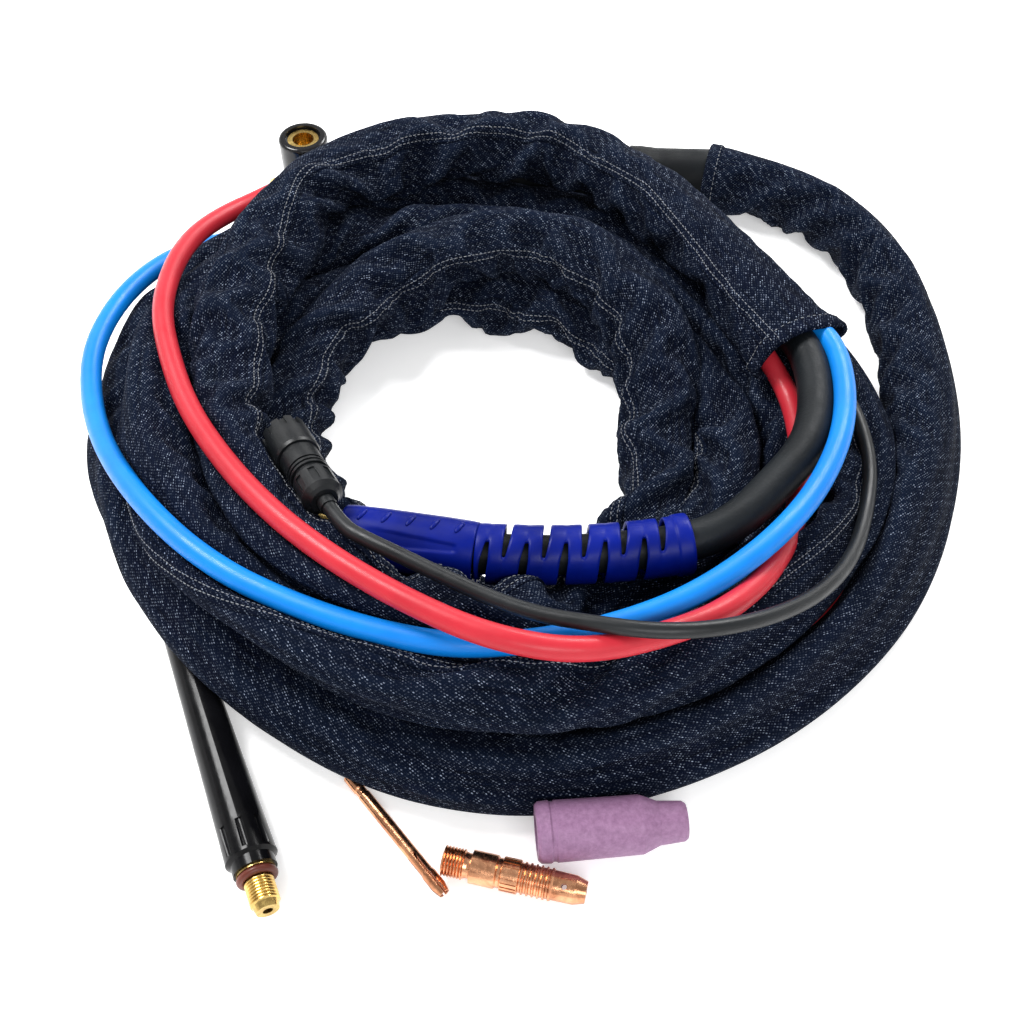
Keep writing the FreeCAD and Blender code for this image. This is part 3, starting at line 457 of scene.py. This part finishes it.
def soft_random(rng, rows, spread, columns=1, around=0):
    """Random values, smooth along the rows and, where asked, round the columns."""
    values = rng.standard_normal((rows, columns))
    window = np.exp(-0.5 * (np.arange(-3 * spread, 3 * spread + 1) / spread) ** 2)
    window /= window.sum()
    values = np.stack([np.convolve(values[:, j], window, "same") for j in range(columns)], 1)
    if around:
        waves = np.fft.rfft(values, axis=1)
        waves *= np.exp(-0.5 * (np.arange(waves.shape[1]) / around) ** 2)
        values = np.fft.irfft(waves, columns, axis=1)
    return values / values.std()


def other_turns(middle, step, reach=40.0, skip=70.0, most=6):
    """For each ring, planes half way to the turns beside, above and below it."""
    apart = np.linalg.norm(middle[:, None] - middle[None], axis=2)
    index = np.arange(len(middle))
    apart[np.abs(index[:, None] - index[None]) * step <= skip] = 1e9
    normals = np.zeros((len(middle), most, 3))
    limits = np.full((len(middle), most), 1e9)
    for i, row in enumerate(apart):
        near = np.where(row < reach)[0]
        if not len(near):
            continue
        groups = np.split(near, np.where(np.diff(near) > 3)[0] + 1)
        nearest = sorted((row[g].min(), g[row[g].argmin()]) for g in groups)[:most]
        for k, (distance, other) in enumerate(nearest):
            normals[i, k] = (middle[other] - middle[i]) / distance
            limits[i, k] = max(distance / 2 - 0.35, 4.5)
    return normals, limits


def things_near(middle, reach=30.0, most=40):
    """For each ring, the nearest spheres of what lies against the sleeve: centres and radii."""
    centres, sizes = [], []
    for points, radius in LEADS.values():
        line, length = along_line(route_line(points), 3.0)
        line = line[int((sleeve_run + 10) / length * len(line)):]
        centres.append(line)
        sizes.append(np.full(len(line), radius))
    for start, end, r0, r1 in LYING:
        share = np.linspace(0, 1, int(math.dist(start, end) / 3) + 2)
        centres.append(np.array(start) + share[:, None] * (np.array(end) - np.array(start)))
        sizes.append(r0 + share * (r1 - r0))
    centres, sizes = np.vstack(centres), np.concatenate(sizes)
    gaps = np.linalg.norm(middle[:, None] - centres[None], axis=2) - sizes[None]
    order = np.argsort(gaps, axis=1)[:, :most]
    near = np.take_along_axis(gaps, order, 1)
    touched = np.where(near[:, 0] < reach)[0]
    order, near = order[touched], near[touched]
    return touched, centres[order], np.where(near < reach, sizes[order], -50.0)


def spring(a, b, rest, pull, push):
    """Half the move that brings each pair of points back to its rest length."""
    gap = b - a
    length = np.sqrt((gap * gap).sum(-1))
    stretch = length - rest
    return gap * (0.5 * np.where(stretch > 0, pull, push) * stretch / np.maximum(length, 1e-6))[..., None]


def drape_sleeve(middle, length, steps=60, rounds=9):
    """Cloth tube on its bundle of leads: returns the rings of points and the rest lengths."""
    count = len(middle)
    step = length / (count - 1)
    forward, right, up = travel_frames(middle)
    curve = np.gradient(forward, axis=0) / step
    curve = np.stack([np.convolve(np.pad(curve[:, k], 4, "edge"), np.ones(9) / 9, "valid") for k in range(3)], 1)
    rng = np.random.default_rng(7)
    cell = SLEEVE_ROUND / CELLS_ROUND
    angle = 2 * np.pi * np.arange(CELLS_ROUND) / CELLS_ROUND
    inward = ((curve * right).sum(1)[:, None] * np.cos(angle) + (curve * up).sum(1)[:, None] * np.sin(angle))
    bend = np.linalg.norm(curve, axis=1)[:, None]
    slack = 0.014 + 12.8 * (0.14 * bend + 0.70 * np.maximum(inward, 0))
    along = step * (1 - 12.8 * inward + slack) * (1 + 0.014 * soft_random(rng, count, 6)[:, :1])
    turned = angle[None] + 0.30 * soft_random(rng, count, 15)[:, 0][:, None]
    radius = 12.8 + 0.4 * soft_random(rng, count, 3, CELLS_ROUND, 5)
    points = middle[:, None] + radius[..., None] * (np.cos(turned)[..., None] * right[:, None]
                                                    + np.sin(turned)[..., None] * up[:, None])
    points += forward[:, None] * (0.6 * soft_random(rng, count, 3, CELLS_ROUND, 4))[..., None]
    normals, limits = other_turns(middle, step)
    between = 0.5 * (along[:-1] + along[1:])
    touched, spheres, sizes = things_near(middle)
    sizes = sizes[:, None] + 0.9
    slant = np.sqrt(cell ** 2 + between ** 2)
    two_along = along[:-2] + along[2:]
    held = middle[0] - OVER_HANDLE * forward[0] + HANDLE_END_R * (np.cos(angle)[:, None] * right[0] + np.sin(angle)[:, None] * up[0])
    held[:, 2] = np.maximum(held[:, 2], FLOOR_GAP)
    speed = np.zeros_like(points)
    for _ in range(steps):
        speed *= 0.9
        speed[..., 2] -= 0.007
        now = points + speed
        for _ in range(rounds):
            for start in (0, 1):
                shifted = np.roll(now, -start, axis=1)
                move = spring(shifted[:, 0::2], shifted[:, 1::2], cell, 1.0, 0.9)
                shifted[:, 0::2] += move
                shifted[:, 1::2] -= move
                now = np.roll(shifted, start, axis=1)
            for start in (0, 1):
                rows = (count - start) // 2
                first, second = now[start::2][:rows], now[start + 1::2][:rows]
                move = spring(first, second, between[start::2][:rows], 1.0, 0.85)
                now[start:start + 2 * rows:2] += move
                now[start + 1:start + 2 * rows:2] -= move
            shift = np.zeros_like(now)
            beside = np.roll(now, -1, axis=1)
            move = spring(now[:-1], beside[1:], slant, 0.5, 0.3)
            shift[:-1] += move
            shift[1:] -= np.roll(move, 1, axis=1)
            move = spring(beside[:-1], now[1:], slant, 0.5, 0.3)
            shift[1:] -= move
            shift[:-1] += np.roll(move, 1, axis=1)
            move = spring(now, np.roll(now, -2, axis=1), 2 * cell, 0.0, 0.14)
            shift += move - np.roll(move, 2, axis=1)
            move = spring(now[:-2], now[2:], two_along, 0.0, 0.22)
            shift[:-2] += move
            shift[2:] -= move
            now += 0.6 * shift
            out = now - middle[:, None]
            ahead = (out * forward[:, None]).sum(-1)
            spoke = out - ahead[..., None] * forward[:, None]
            size = np.sqrt((spoke * spoke).sum(-1))
            now += spoke * (np.maximum(CORE_R - size, 0) / np.maximum(size, 1e-6))[..., None]
            now -= forward[:, None] * (np.sign(ahead) * np.maximum(np.abs(ahead) - 3.2, 0) * 0.5)[..., None]
            for k in range(normals.shape[1]):
                over = ((now - middle[:, None]) * normals[:, None, k]).sum(-1) - limits[:, None, k]
                now -= normals[:, None, k] * np.maximum(over, 0)[..., None]
            close = now[touched][:, :, None] - spheres[:, None]
            apart = np.sqrt((close * close).sum(-1))
            deep = np.where(apart < sizes, sizes - apart, 0)
            worst = deep.argmax(-1)[..., None]
            push = np.take_along_axis(deep, worst, 2) / np.maximum(np.take_along_axis(apart, worst, 2), 1e-6)
            now[touched] += push * np.take_along_axis(close, worst[..., None], 2)[:, :, 0]
            now[..., 2] = np.maximum(now[..., 2], FLOOR_GAP)
            now[0], now[1] = held, held + forward[0] * OVER_HANDLE
        speed = now - points
        pace = np.sqrt((speed * speed).sum(-1))
        speed *= np.minimum(1, 1.2 / np.maximum(pace, 1e-9))[..., None]
        points = now
    return points, along, cell


def refine(grid, wrap):
    """Doubles a grid's rows, or its closed columns, through a cubic of four neighbours."""
    if wrap:
        before, after, far = np.roll(grid, 1, 1), np.roll(grid, -1, 1), np.roll(grid, -2, 1)
        half = (9 * (grid + after) - before - far) / 16
        return np.stack([grid, half], 2).reshape(grid.shape[0], -1, grid.shape[2])
    padded = np.concatenate([2 * grid[:1] - grid[1:2], grid, 2 * grid[-1:] - grid[-2:-1]])
    half = (9 * (padded[1:-2] + padded[2:-1]) - padded[:-3] - padded[3:]) / 16
    fine = np.empty((2 * len(grid) - 1, *grid.shape[1:]))
    fine[0::2], fine[1::2] = grid, half
    return fine


def soften(grid, share, times):
    for _ in range(times):
        mean = (np.roll(grid, 1, 1) + np.roll(grid, -1, 1)) / 2
        rows = grid.copy()
        rows[1:-1] = (grid[:-2] + grid[2:]) / 2
        grid = (1 - share) * grid + share * (mean + rows) / 2
    return grid


sleeve_line = route_line(SLEEVE_ROUTE)
middle, sleeve_run = along_line(sleeve_line, CELL_ALONG)
rings, rest_along, rest_round = drape_sleeve(middle, sleeve_run)
forward, right, up = travel_frames(middle)
# the open hem lies a little flattened
MOUTH_RINGS = 16
for k in range(MOUTH_RINGS):
    i = len(rings) - 1 - k
    ease = (1 - k / MOUTH_RINGS) ** 1.3
    out = rings[i] - middle[i]
    sideways, upward = out @ right[i], out @ up[i]
    rings[i] = (rings[i] + np.outer(sideways * 0.34 * ease, right[i])
                - np.outer(upward * 0.22 * ease, up[i]))
rings = soften(rings, 0.2, 1)
fine = refine(refine(rings, True), False)
rows, columns = fine.shape[:2]
fine_middle = refine(middle[:, None], False)[:, 0]
chance = np.random.default_rng(11)
spokes = fine - fine_middle[:, None]
spokes /= np.linalg.norm(spokes, axis=2)[..., None]
turning = np.gradient(np.gradient(fine_middle, axis=0), axis=0) / (CELL_ALONG / 2) ** 2
turning = np.stack([np.convolve(np.pad(turning[:, k], 12, "edge"), np.ones(25) / 25, "valid") for k in range(3)], 1)
inner = np.clip((spokes * turning[:, None]).sum(-1) * 95, 0, 1.3)
long_folds = 0.62 - np.abs(soft_random(chance, rows, 16, columns, 6))
gathers = 0.62 - np.abs(soft_random(chance, rows, 2, columns, 4))
gathers *= np.clip(0.5 + 0.7 * soft_random(chance, rows, 22), 0, 1.3)
free = np.clip(np.minimum(np.arange(rows), np.arange(rows)[::-1]) / 12, 0, 1)[:, None]
fine -= spokes * (free * (0.6 * long_folds + 0.75 * inner * gathers))[..., None]
CREASES = 230
CREASE_FLOOR = 12.2         # a crease stops this far from the sleeve's middle


def press_creases(grid, count, rng):
    """Short sharp valleys, most of them across the sleeve where a bend gathers its cloth."""
    bend = np.linalg.norm(turning, axis=1)
    odds = np.cumsum(0.15 * bend.max() + bend)
    centre_rows = np.searchsorted(odds / odds[-1], rng.random(count))
    inside = inner.argmax(1)
    round_step, long_step = SLEEVE_ROUND / columns, CELL_ALONG / 2
    reach = 14
    before = np.linalg.norm(grid - fine_middle[:, None], axis=2)
    depth_map = np.zeros((rows, columns))
    for centre in centre_rows:
        row_at = np.arange(max(centre - reach, 8), min(centre + reach, rows - 8))
        if not len(row_at):
            continue
        column = inside[centre] + rng.normal(0, 7)
        tilt_angle, half, depth, wide = rng.normal(0, 0.5), rng.uniform(9, 19), rng.uniform(0.9, 2.3), rng.uniform(1.3, 2.2)
        du = (row_at - centre)[:, None] * long_step
        dv = ((np.arange(columns) - column + columns / 2) % columns - columns / 2)[None] * round_step
        over = dv * math.cos(tilt_angle) + du * math.sin(tilt_angle)
        off = du * math.cos(tilt_angle) - dv * math.sin(tilt_angle) + 0.05 * over ** 2 / half * rng.normal(0, 1)
        envelope = np.cos(np.clip(over / half, -1, 1) * math.pi / 2) ** 1.5
        valley = np.exp(-np.abs(off) / wide) - 0.35 * np.exp(-((np.abs(off) - 3.4) / 1.8) ** 2)
        depth_map[row_at] += depth * envelope * valley
    after = np.maximum(before - depth_map, np.minimum(before, CREASE_FLOOR))
    return grid - spokes * (before - after)[..., None]


fine = press_creases(fine, CREASES, np.random.default_rng(21))
fine[..., 2] = np.maximum(fine[..., 2], FLOOR_GAP)
mean_along = rest_along.mean(1)
run = np.concatenate([[0], np.cumsum(0.5 * (mean_along[:-1] + mean_along[1:]))])
run = np.interp(np.arange(rows) / 2, np.arange(len(run)), run)
step_round = SLEEVE_ROUND / columns

d_round = np.roll(fine, -1, 1) - np.roll(fine, 1, 1)
d_along = np.gradient(fine, axis=0)
outward = np.cross(d_along, d_round)
outward /= np.maximum(np.linalg.norm(outward, axis=2), 1e-9)[..., None]
if ((outward * (fine - fine_middle[:, None])).sum(-1)).mean() < 0:
    outward = -outward
mean = soften(fine, 1.0, 3)
ridge = ((fine - mean) * outward).sum(-1)
wear = np.clip(ridge / 0.45, 0, 1) ** 1.2


def grid_faces(rows, columns, closed):
    i, j = np.meshgrid(np.arange(rows - 1), np.arange(columns if closed else columns - 1), indexing="ij")
    nxt = (j + 1) % columns
    corners = (i * columns + j, (i + 1) * columns + j, (i + 1) * columns + nxt, i * columns + nxt)
    return np.stack(corners, -1).reshape(-1, 4)


def add_uv(obj, per_loop):
    layer = obj.data.uv_layers.new(name="weave")
    layer.data.foreach_set("uv", np.asarray(per_loop, np.float32).ravel())


def fabric_grid(name, grid, u, v, material, thickness, closed=False, wear=None):
    """A cloth piece from a grid of points: its weave's UVs in metres, and its thickness."""
    rows, columns = grid.shape[:2]
    faces = grid_faces(rows, columns, closed)
    obj = mesh_object(name, place(grid.reshape(-1, 3)), faces, material)
    corner_rows, corner_columns = faces // columns, faces % columns
    v_corner = v[corner_rows, corner_columns]
    if closed:
        v_corner[:, 2:] += np.where(corner_columns[:, 2:] == 0, SLEEVE_ROUND, 0)
    uv = np.stack([u[corner_rows, corner_columns], v_corner], -1) * MM
    add_uv(obj, uv)
    if wear is not None:
        obj.data.attributes.new("wear", "FLOAT", "POINT").data.foreach_set("value", wear.ravel().astype(np.float32))
    solid = obj.modifiers.new("thickness", "SOLIDIFY")
    solid.thickness = thickness * MM
    solid.offset = -1.0
    return obj


u_grid = np.repeat(run[:, None], columns, 1)
v_grid = np.repeat(np.arange(columns)[None] * step_round, rows, 0)
sleeve = fabric_grid("denim_sleeve", fine, u_grid, v_grid, denim.material, 0.9, True, wear)


def on_strip(row, column, lift):
    """The same on the long seam, where a column is one of the strip's points."""
    r0 = np.floor(np.clip(row, 0, rows - 1.001)).astype(int)
    c0 = np.floor(np.clip(column, 0, strip.shape[1] - 1.001)).astype(int)
    fr, fc = (row - r0)[..., None], (column - c0)[..., None]
    edge = strip[r0, c0 + 1] - strip[r0, c0]
    ahead = strip[r0 + 1, c0] - strip[r0, c0]
    normal = np.cross(ahead, edge)
    normal /= np.maximum(np.linalg.norm(normal, axis=-1), 1e-9)[..., None]
    outside = ((normal * (strip[r0, c0] - fine_middle[r0])).sum(-1) < 0)
    normal[outside] *= -1
    point = ((1 - fr) * ((1 - fc) * strip[r0, c0] + fc * strip[r0, c0 + 1])
             + fr * ((1 - fc) * strip[r0 + 1, c0] + fc * strip[r0 + 1, c0 + 1]))
    return point + normal * np.asarray(lift)[..., None], normal


def on_sleeve(row, column, lift=0.0):
    """A point on the sleeve's outside at a fractional row and column, lifted off it by some millimetres."""
    row = np.clip(row, 0, rows - 1.001)
    r0, c0 = np.floor(row).astype(int), np.floor(column).astype(int)
    fr, fc = (row - r0)[..., None], (column - c0)[..., None]
    c1 = (c0 + 1) % columns
    c0 = c0 % columns
    def blend(grid):
        return ((1 - fr) * ((1 - fc) * grid[r0, c0] + fc * grid[r0, c1])
                + fr * ((1 - fc) * grid[r0 + 1, c0] + fc * grid[r0 + 1, c1]))
    normal = blend(outward)
    normal /= np.maximum(np.linalg.norm(normal, axis=-1), 1e-9)[..., None]
    lift = np.asarray(lift)
    return blend(fine) + normal * lift[..., None], normal


# the long felled seam: (share of the sleeve's length, degrees round it from its right side)
SEAM = [(0, -95), (0.255, -95), (0.296, 80), (0.306, 94), (0.32, 91), (0.349, 100), (0.363, 121), (0.369, 148),
        (0.381, 190), (0.44, 200), (0.56, 80), (0.604, 25), (0.633, 31), (0.64, 25), (0.757, 40), (0.762, 15),
        (0.80, 20), (0.82, 37), (0.833, 55), (0.90, 50), (0.909, 40), (0.918, 64), (0.927, 100), (0.94, 70), (0.96, 67),
        (0.966, 50), (0.973, 66), (0.98, 49), (0.99, 42), (1.0, 55)]


def seam_columns(at_rows):
    share = at_rows / (rows - 1)
    degrees = np.interp(share, [s for s, _ in SEAM], [d for _, d in SEAM])
    window = 6
    smooth = np.convolve(np.pad(degrees, window, "edge"), np.ones(2 * window + 1) / (2 * window + 1), "valid")
    return smooth / 360 * columns


seam_rows = np.arange(rows, dtype=float)
seam_middle = seam_columns(seam_rows)
across = np.array([-3.2, -3.0, -2.2, -1.35, 0.0, 1.35, 2.2, 3.0, 3.2])
rise = np.array([-0.4, 0.6, 0.8, 0.7, 1.15, 0.7, 0.8, 0.6, -0.4])
ripple = soft_random(np.random.default_rng(3), rows, 2, len(across))
strip_columns = (seam_middle[:, None] + across[None] / step_round) % columns
strip, _ = on_sleeve(np.repeat(seam_rows[:, None], len(across), 1), strip_columns,
                     np.repeat(rise[None], rows, 0) + 0.08 * ripple)
strip[..., 2] = np.maximum(strip[..., 2], SEAM_GAP)
seam = fabric_grid("sleeve_seam", strip, u_grid[:, :len(across)] + 11.0,
                   np.repeat(across[None] * 1.0 + 300.0, rows, 0), denim.material, 0.5,
                   wear=np.full((rows, len(across)), 0.35))


def stitches(name, centres, ways, normals, length, thick):
    """Short raised threads laid on the cloth."""
    ring = np.array([(math.cos(a), math.sin(a)) for a in np.arange(5) * math.pi / 2.5])
    profile = [(-0.5, 0.35), (-0.3, 1.0), (0.3, 1.0), (0.5, 0.35)]
    sides = np.cross(normals, ways)
    verts = []
    for t, s in profile:
        for c, q in ring:
            verts.append(centres + ways * (t * length) + sides * (s * c * thick)
                         + normals * ((s * q * thick * 0.8) - 0.35 * abs(2 * t) ** 3 * thick))
    verts = np.stack(verts, 1)
    verts[..., 2] = np.maximum(verts[..., 2], 0.3)
    faces = []
    for k in range(3):
        for j in range(5):
            n = (j + 1) % 5
            faces.append((k * 5 + j, k * 5 + n, k * 5 + 5 + n, k * 5 + 5 + j))
    faces = np.array(faces)
    every = (faces[None] + 20 * np.arange(len(centres))[:, None, None]).reshape(-1, 4)
    caps = [tuple(20 * m + i for i in order) for m in range(len(centres)) for order in (range(4, -1, -1), range(15, 20))]
    return mesh_object(name, place(verts.reshape(-1, 3)), [tuple(f) for f in every] + caps, thread.material)


def stitch_row(column, pitch, lift, phase=0.0):
    """Stitch centres, ways and normals along one column of the long seam."""
    line, _ = on_strip(seam_rows, np.full(rows, column), np.full(rows, lift))
    reach = np.concatenate([[0], np.cumsum(np.linalg.norm(np.diff(line, axis=0), axis=1))])
    row = np.interp(np.arange(phase + 2.0, reach[-1] - 2.0, pitch), reach, seam_rows)
    columns_at, lifts = np.full(len(row), column), np.full(len(row), lift)
    centres, normals = on_strip(row, columns_at, lifts)
    ahead, _ = on_strip(np.minimum(row + 0.4, rows - 1.01), columns_at, lifts)
    behind, _ = on_strip(np.maximum(row - 0.4, 0), columns_at, lifts)
    return square_ways(centres, ahead - behind, normals)


def square_ways(centres, ways, normals):
    ways /= np.maximum(np.linalg.norm(ways, axis=1), 1e-9)[:, None]
    normals -= (normals * ways).sum(1)[:, None] * ways
    normals /= np.linalg.norm(normals, axis=1)[:, None]
    return centres, ways, normals


STITCH_COLUMN, STITCH_PITCH = 3.2, 1.9
two_rows = [np.concatenate(x) for x in zip(stitch_row(STITCH_COLUMN, STITCH_PITCH, 0.12),
                                           stitch_row(8 - STITCH_COLUMN, STITCH_PITCH, 0.12, 1.2))]
seam_stitches = stitches("sleeve_stitches", *two_rows, 1.25, 0.17)


def hem(name, first, last):
    """A folded hem round one end of the sleeve, with its row of stitches."""
    hem_rows = np.linspace(first, last, 9)
    lifts = np.array([-0.3, 0.6, 0.85, 0.8, 0.75, 0.8, 0.85, 0.6, -0.2])
    columns_at = np.arange(columns, dtype=float)
    grid, _ = on_sleeve(np.repeat(hem_rows[:, None], columns, 1), np.repeat(columns_at[None], 9, 0),
                        np.repeat(lifts[:, None], columns, 1))
    grid[..., 2] = np.maximum(grid[..., 2], SEAM_GAP)
    u = np.repeat((hem_rows * CELL_ALONG / 2)[:, None], columns, 1) + 77.0
    v = np.repeat(columns_at[None] * step_round, 9, 0)
    band = fabric_grid(name, grid, u, v, denim.material, 0.5, True, np.full((9, columns), 0.45))
    inner = last if abs(last - (rows - 1) / 2) < abs(first - (rows - 1) / 2) else first
    row = inner + (first - inner + last - inner) * 0.16
    at = np.arange(0, columns, 2.2 / step_round)
    centres, normals = on_sleeve(np.full(len(at), row), at, np.full(len(at), 0.95))
    ahead, _ = on_sleeve(np.full(len(at), row), (at + 0.5) % columns, np.full(len(at), 0.95))
    return band, stitches(name + "_stitches", *square_ways(centres, ahead - centres, normals), 1.25, 0.17)


torch_hem, torch_hem_stitches = hem("torch_end_hem", 0.0, 3.4)
machine_hem, machine_hem_stitches = hem("machine_end_hem", rows - 4.2, rows - 1.01)
for piece in (sleeve, seam, torch_hem, machine_hem, seam_stitches, torch_hem_stitches, machine_hem_stitches):
    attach(piece, "torch")
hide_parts("sleeve_coil", "sleeve_torch_end", "sleeve_machine_end")

# ---------------------------------------------------------------- machine plug body and its slotted relief
def bent_line(start, middle, end, share):
    """Points and unit ways of a bend through three guides, at shares of its run."""
    a, b, c = (np.array(v, float) for v in (start, middle, end))
    t = share[..., None]
    point = (1 - t) ** 2 * a + 2 * t * (1 - t) * b + t * t * c
    way = 2 * (1 - t) * (b - a) + 2 * t * (c - b)
    return point, way / np.linalg.norm(way, axis=-1)[..., None]


def skin(line_of, along, angle, radius):
    """A grid of points at distances along a bent line, angles from its camera side, and radii."""
    point, way = line_of(along)
    side = np.cross(way, (0, 0, 1.0))
    side /= np.linalg.norm(side, axis=-1)[..., None]
    over = np.cross(side, way)
    return point + radius[..., None] * (np.cos(angle)[..., None] * side + np.sin(angle)[..., None] * over)


def relief_line(along):
    length = math.dist(GRIP_REAR, RELIEF_END)
    return bent_line(GRIP_REAR, (25, -50.6, 38.8), RELIEF_END, along / length)


def shelled(obj, thickness, levels):
    solid = obj.modifiers.new("wall", "SOLIDIFY")
    solid.thickness = thickness * MM
    solid.offset = -1.0
    smooth = obj.modifiers.new("rounding", "SUBSURF")
    smooth.levels = smooth.render_levels = levels
    return obj


def strain_relief():
    """Bent blue tail whose two rows of leaning slots leave S-shaped ribs, and its plain collar."""
    columns = 48
    angle = 2 * np.pi * (np.arange(columns) + 0.5) / columns
    degrees = (np.degrees(angle) + 120) % 360 - 120
    lean = 1.4 * np.sin(angle - math.radians(52))
    pitch, first = 12.8, 2.4
    half_a = 0.45 + 0.75 * np.clip((84 - np.abs(degrees + 4)) / 40, 0, 1)
    half_b = 0.40 + 0.62 * np.clip((degrees - 46) / 45, 0, 1) * np.clip((212 - degrees) / 25, 0, 1)
    lines, radii, holes = [], [], []

    def line(s, r, hole=None):
        lines.append(s * np.ones(columns))
        radii.append(r * np.ones(columns))
        holes.append(hole)

    line(-1.2, 9.2)
    line(-1.0, 9.9)
    line(-0.7, 10.25)
    for module in range(5):
        centre_a, centre_b = first + pitch * module, first + 6.1 + pitch * module
        body = 10.25 - 0.25 * min(module, 2) / 2
        line(centre_a - half_a - 0.45 + lean, body + 0.12)
        line(centre_a - half_a + lean, body, "a")
        line(centre_a + lean, body, "a")
        line(centre_a + half_a + lean, body)
        line(centre_a + half_a + 0.45 + lean, body + 0.12)
        line(centre_b - half_b - 0.45 + lean, body + 0.12)
        line(centre_b - half_b + lean, body, "b")
        line(centre_b + lean, body, "b")
        line(centre_b + half_b + lean, body)
        line(centre_b + half_b + 0.45 + lean, body + 0.12)
    for s, r in ((64.6, 10.1), (65.0, 10.15), (65.3, 10.55), (66.2, 10.7), (69.5, 10.7), (70.2, 10.55), (70.5, 10.1),
                 (70.6, 9.4)):
        line(s, r)
    along, radius = np.array(lines), np.array(radii)
    grid = skin(relief_line, along, np.repeat(angle[None], len(along), 0), radius)
    in_a = (degrees > -86) & (degrees < 80)
    in_b = (degrees > 48) & (degrees < 212)
    kept = []
    for row in range(len(lines) - 1):
        open_columns = in_a if holes[row] == "a" else in_b if holes[row] == "b" else np.zeros(columns, bool)
        for j in range(columns):
            n = (j + 1) % columns
            if not (open_columns[j] and open_columns[n]):
                kept.append((row * columns + j, (row + 1) * columns + j, (row + 1) * columns + n, row * columns + n))
    return shelled(mesh_object("slotted_relief", place(grid.reshape(-1, 3)), kept, looks["plug_blue"].material), 1.7, 1)


def grip_line(along):
    length = math.dist(GRIP_FRONT, GRIP_REAR)
    middle = (np.array(GRIP_FRONT) + np.array(GRIP_REAR)) / 2
    return bent_line(GRIP_FRONT, middle, GRIP_REAR, along / length)


GRIP_PROFILE = [(0, 8.4), (0.15, 9.4), (1.0, 10.2), (3, 10.45), (14, 10.75), (34, 10.75), (43, 10.6), (46.5, 10.35)]


def grip_radius(along):
    return np.interp(along, [p[0] for p in GRIP_PROFILE], [p[1] for p in GRIP_PROFILE])


def grip_body():
    """Tapered blue body with a long pressed groove on each side."""
    columns = 120
    steps = np.concatenate([[0, 0.08, 0.15, 0.5, 1.0, 2.0], np.linspace(3, 46.5, 61)])
    angle = 2 * np.pi * np.arange(columns) / columns
    along, turn = np.meshgrid(steps, angle, indexing="ij")
    radius = grip_radius(along)
    for side in (56, 236):
        off = np.abs((np.degrees(turn) - side + 180) % 360 - 180) / 360 * 2 * np.pi * 10.7
        width = 1.3 + 1.9 * np.clip((40 - along) / 30, 0, 1)
        inside = np.clip((width - off) / 0.5 + 0.5, 0, 1) * np.clip((41 - along) / 0.8, 0, 1)
        radius = radius - 0.75 * inside * np.clip((along - 10) / 10, 0, 1)
    grid = skin(grip_line, along, turn, radius)
    faces = grid_faces(*grid.shape[:2], True)
    return shelled(mesh_object("plug_body", place(grid.reshape(-1, 3)), faces, looks["plug_blue"].material), 1.3, 0)


def grip_bars():
    """Five short leaning ribs along the top of the body."""
    verts, faces = [], []
    ring, rings = 12, 7
    for k in range(5):
        base = len(verts)
        for i in range(rings):
            lift = math.pi / 2 * i / (rings - 1)
            for j in range(ring):
                around = 2 * math.pi * j / ring
                long_way, short_way = 3.0 * math.cos(lift) * math.cos(around), 0.95 * math.cos(lift) * math.sin(around)
                s = 7.5 + 8.3 * k + 0.35 * long_way + 0.94 * short_way
                turn = math.radians(100) + (0.94 * long_way - 0.35 * short_way) / 10.7
                r = grip_radius(s) - 0.15 + 0.85 * math.sin(lift) ** 0.6
                verts.append(skin(grip_line, np.array([s]), np.array([turn]), np.array([r]))[0])
        for i in range(rings - 1):
            for j in range(ring):
                n = (j + 1) % ring
                faces.append([base + ring * i + j, base + ring * i + n, base + ring * i + ring + n,
                              base + ring * i + ring + j])
        faces.append([base + j for j in range(ring - 1, -1, -1)])
    return mesh_object("plug_body_ribs", place(np.array(verts)), faces, looks["plug_blue"].material)


def return_spring():
    """The trigger's spring, as a mesh of its own that rides with the torch."""
    spring = link("return_spring", nodes["trigger_spring"].data.copy())
    spring.data.name = "return_spring"
    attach(spring, "torch")
    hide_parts("trigger_spring")
    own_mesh(spring)
    return spring


return_spring()
relief, body_shell, body_ribs = strain_relief(), grip_body(), grip_bars()
for piece in (relief, body_shell, body_ribs):
    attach(piece, "torch")
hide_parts("plug_strain_relief")
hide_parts("plug_grip")
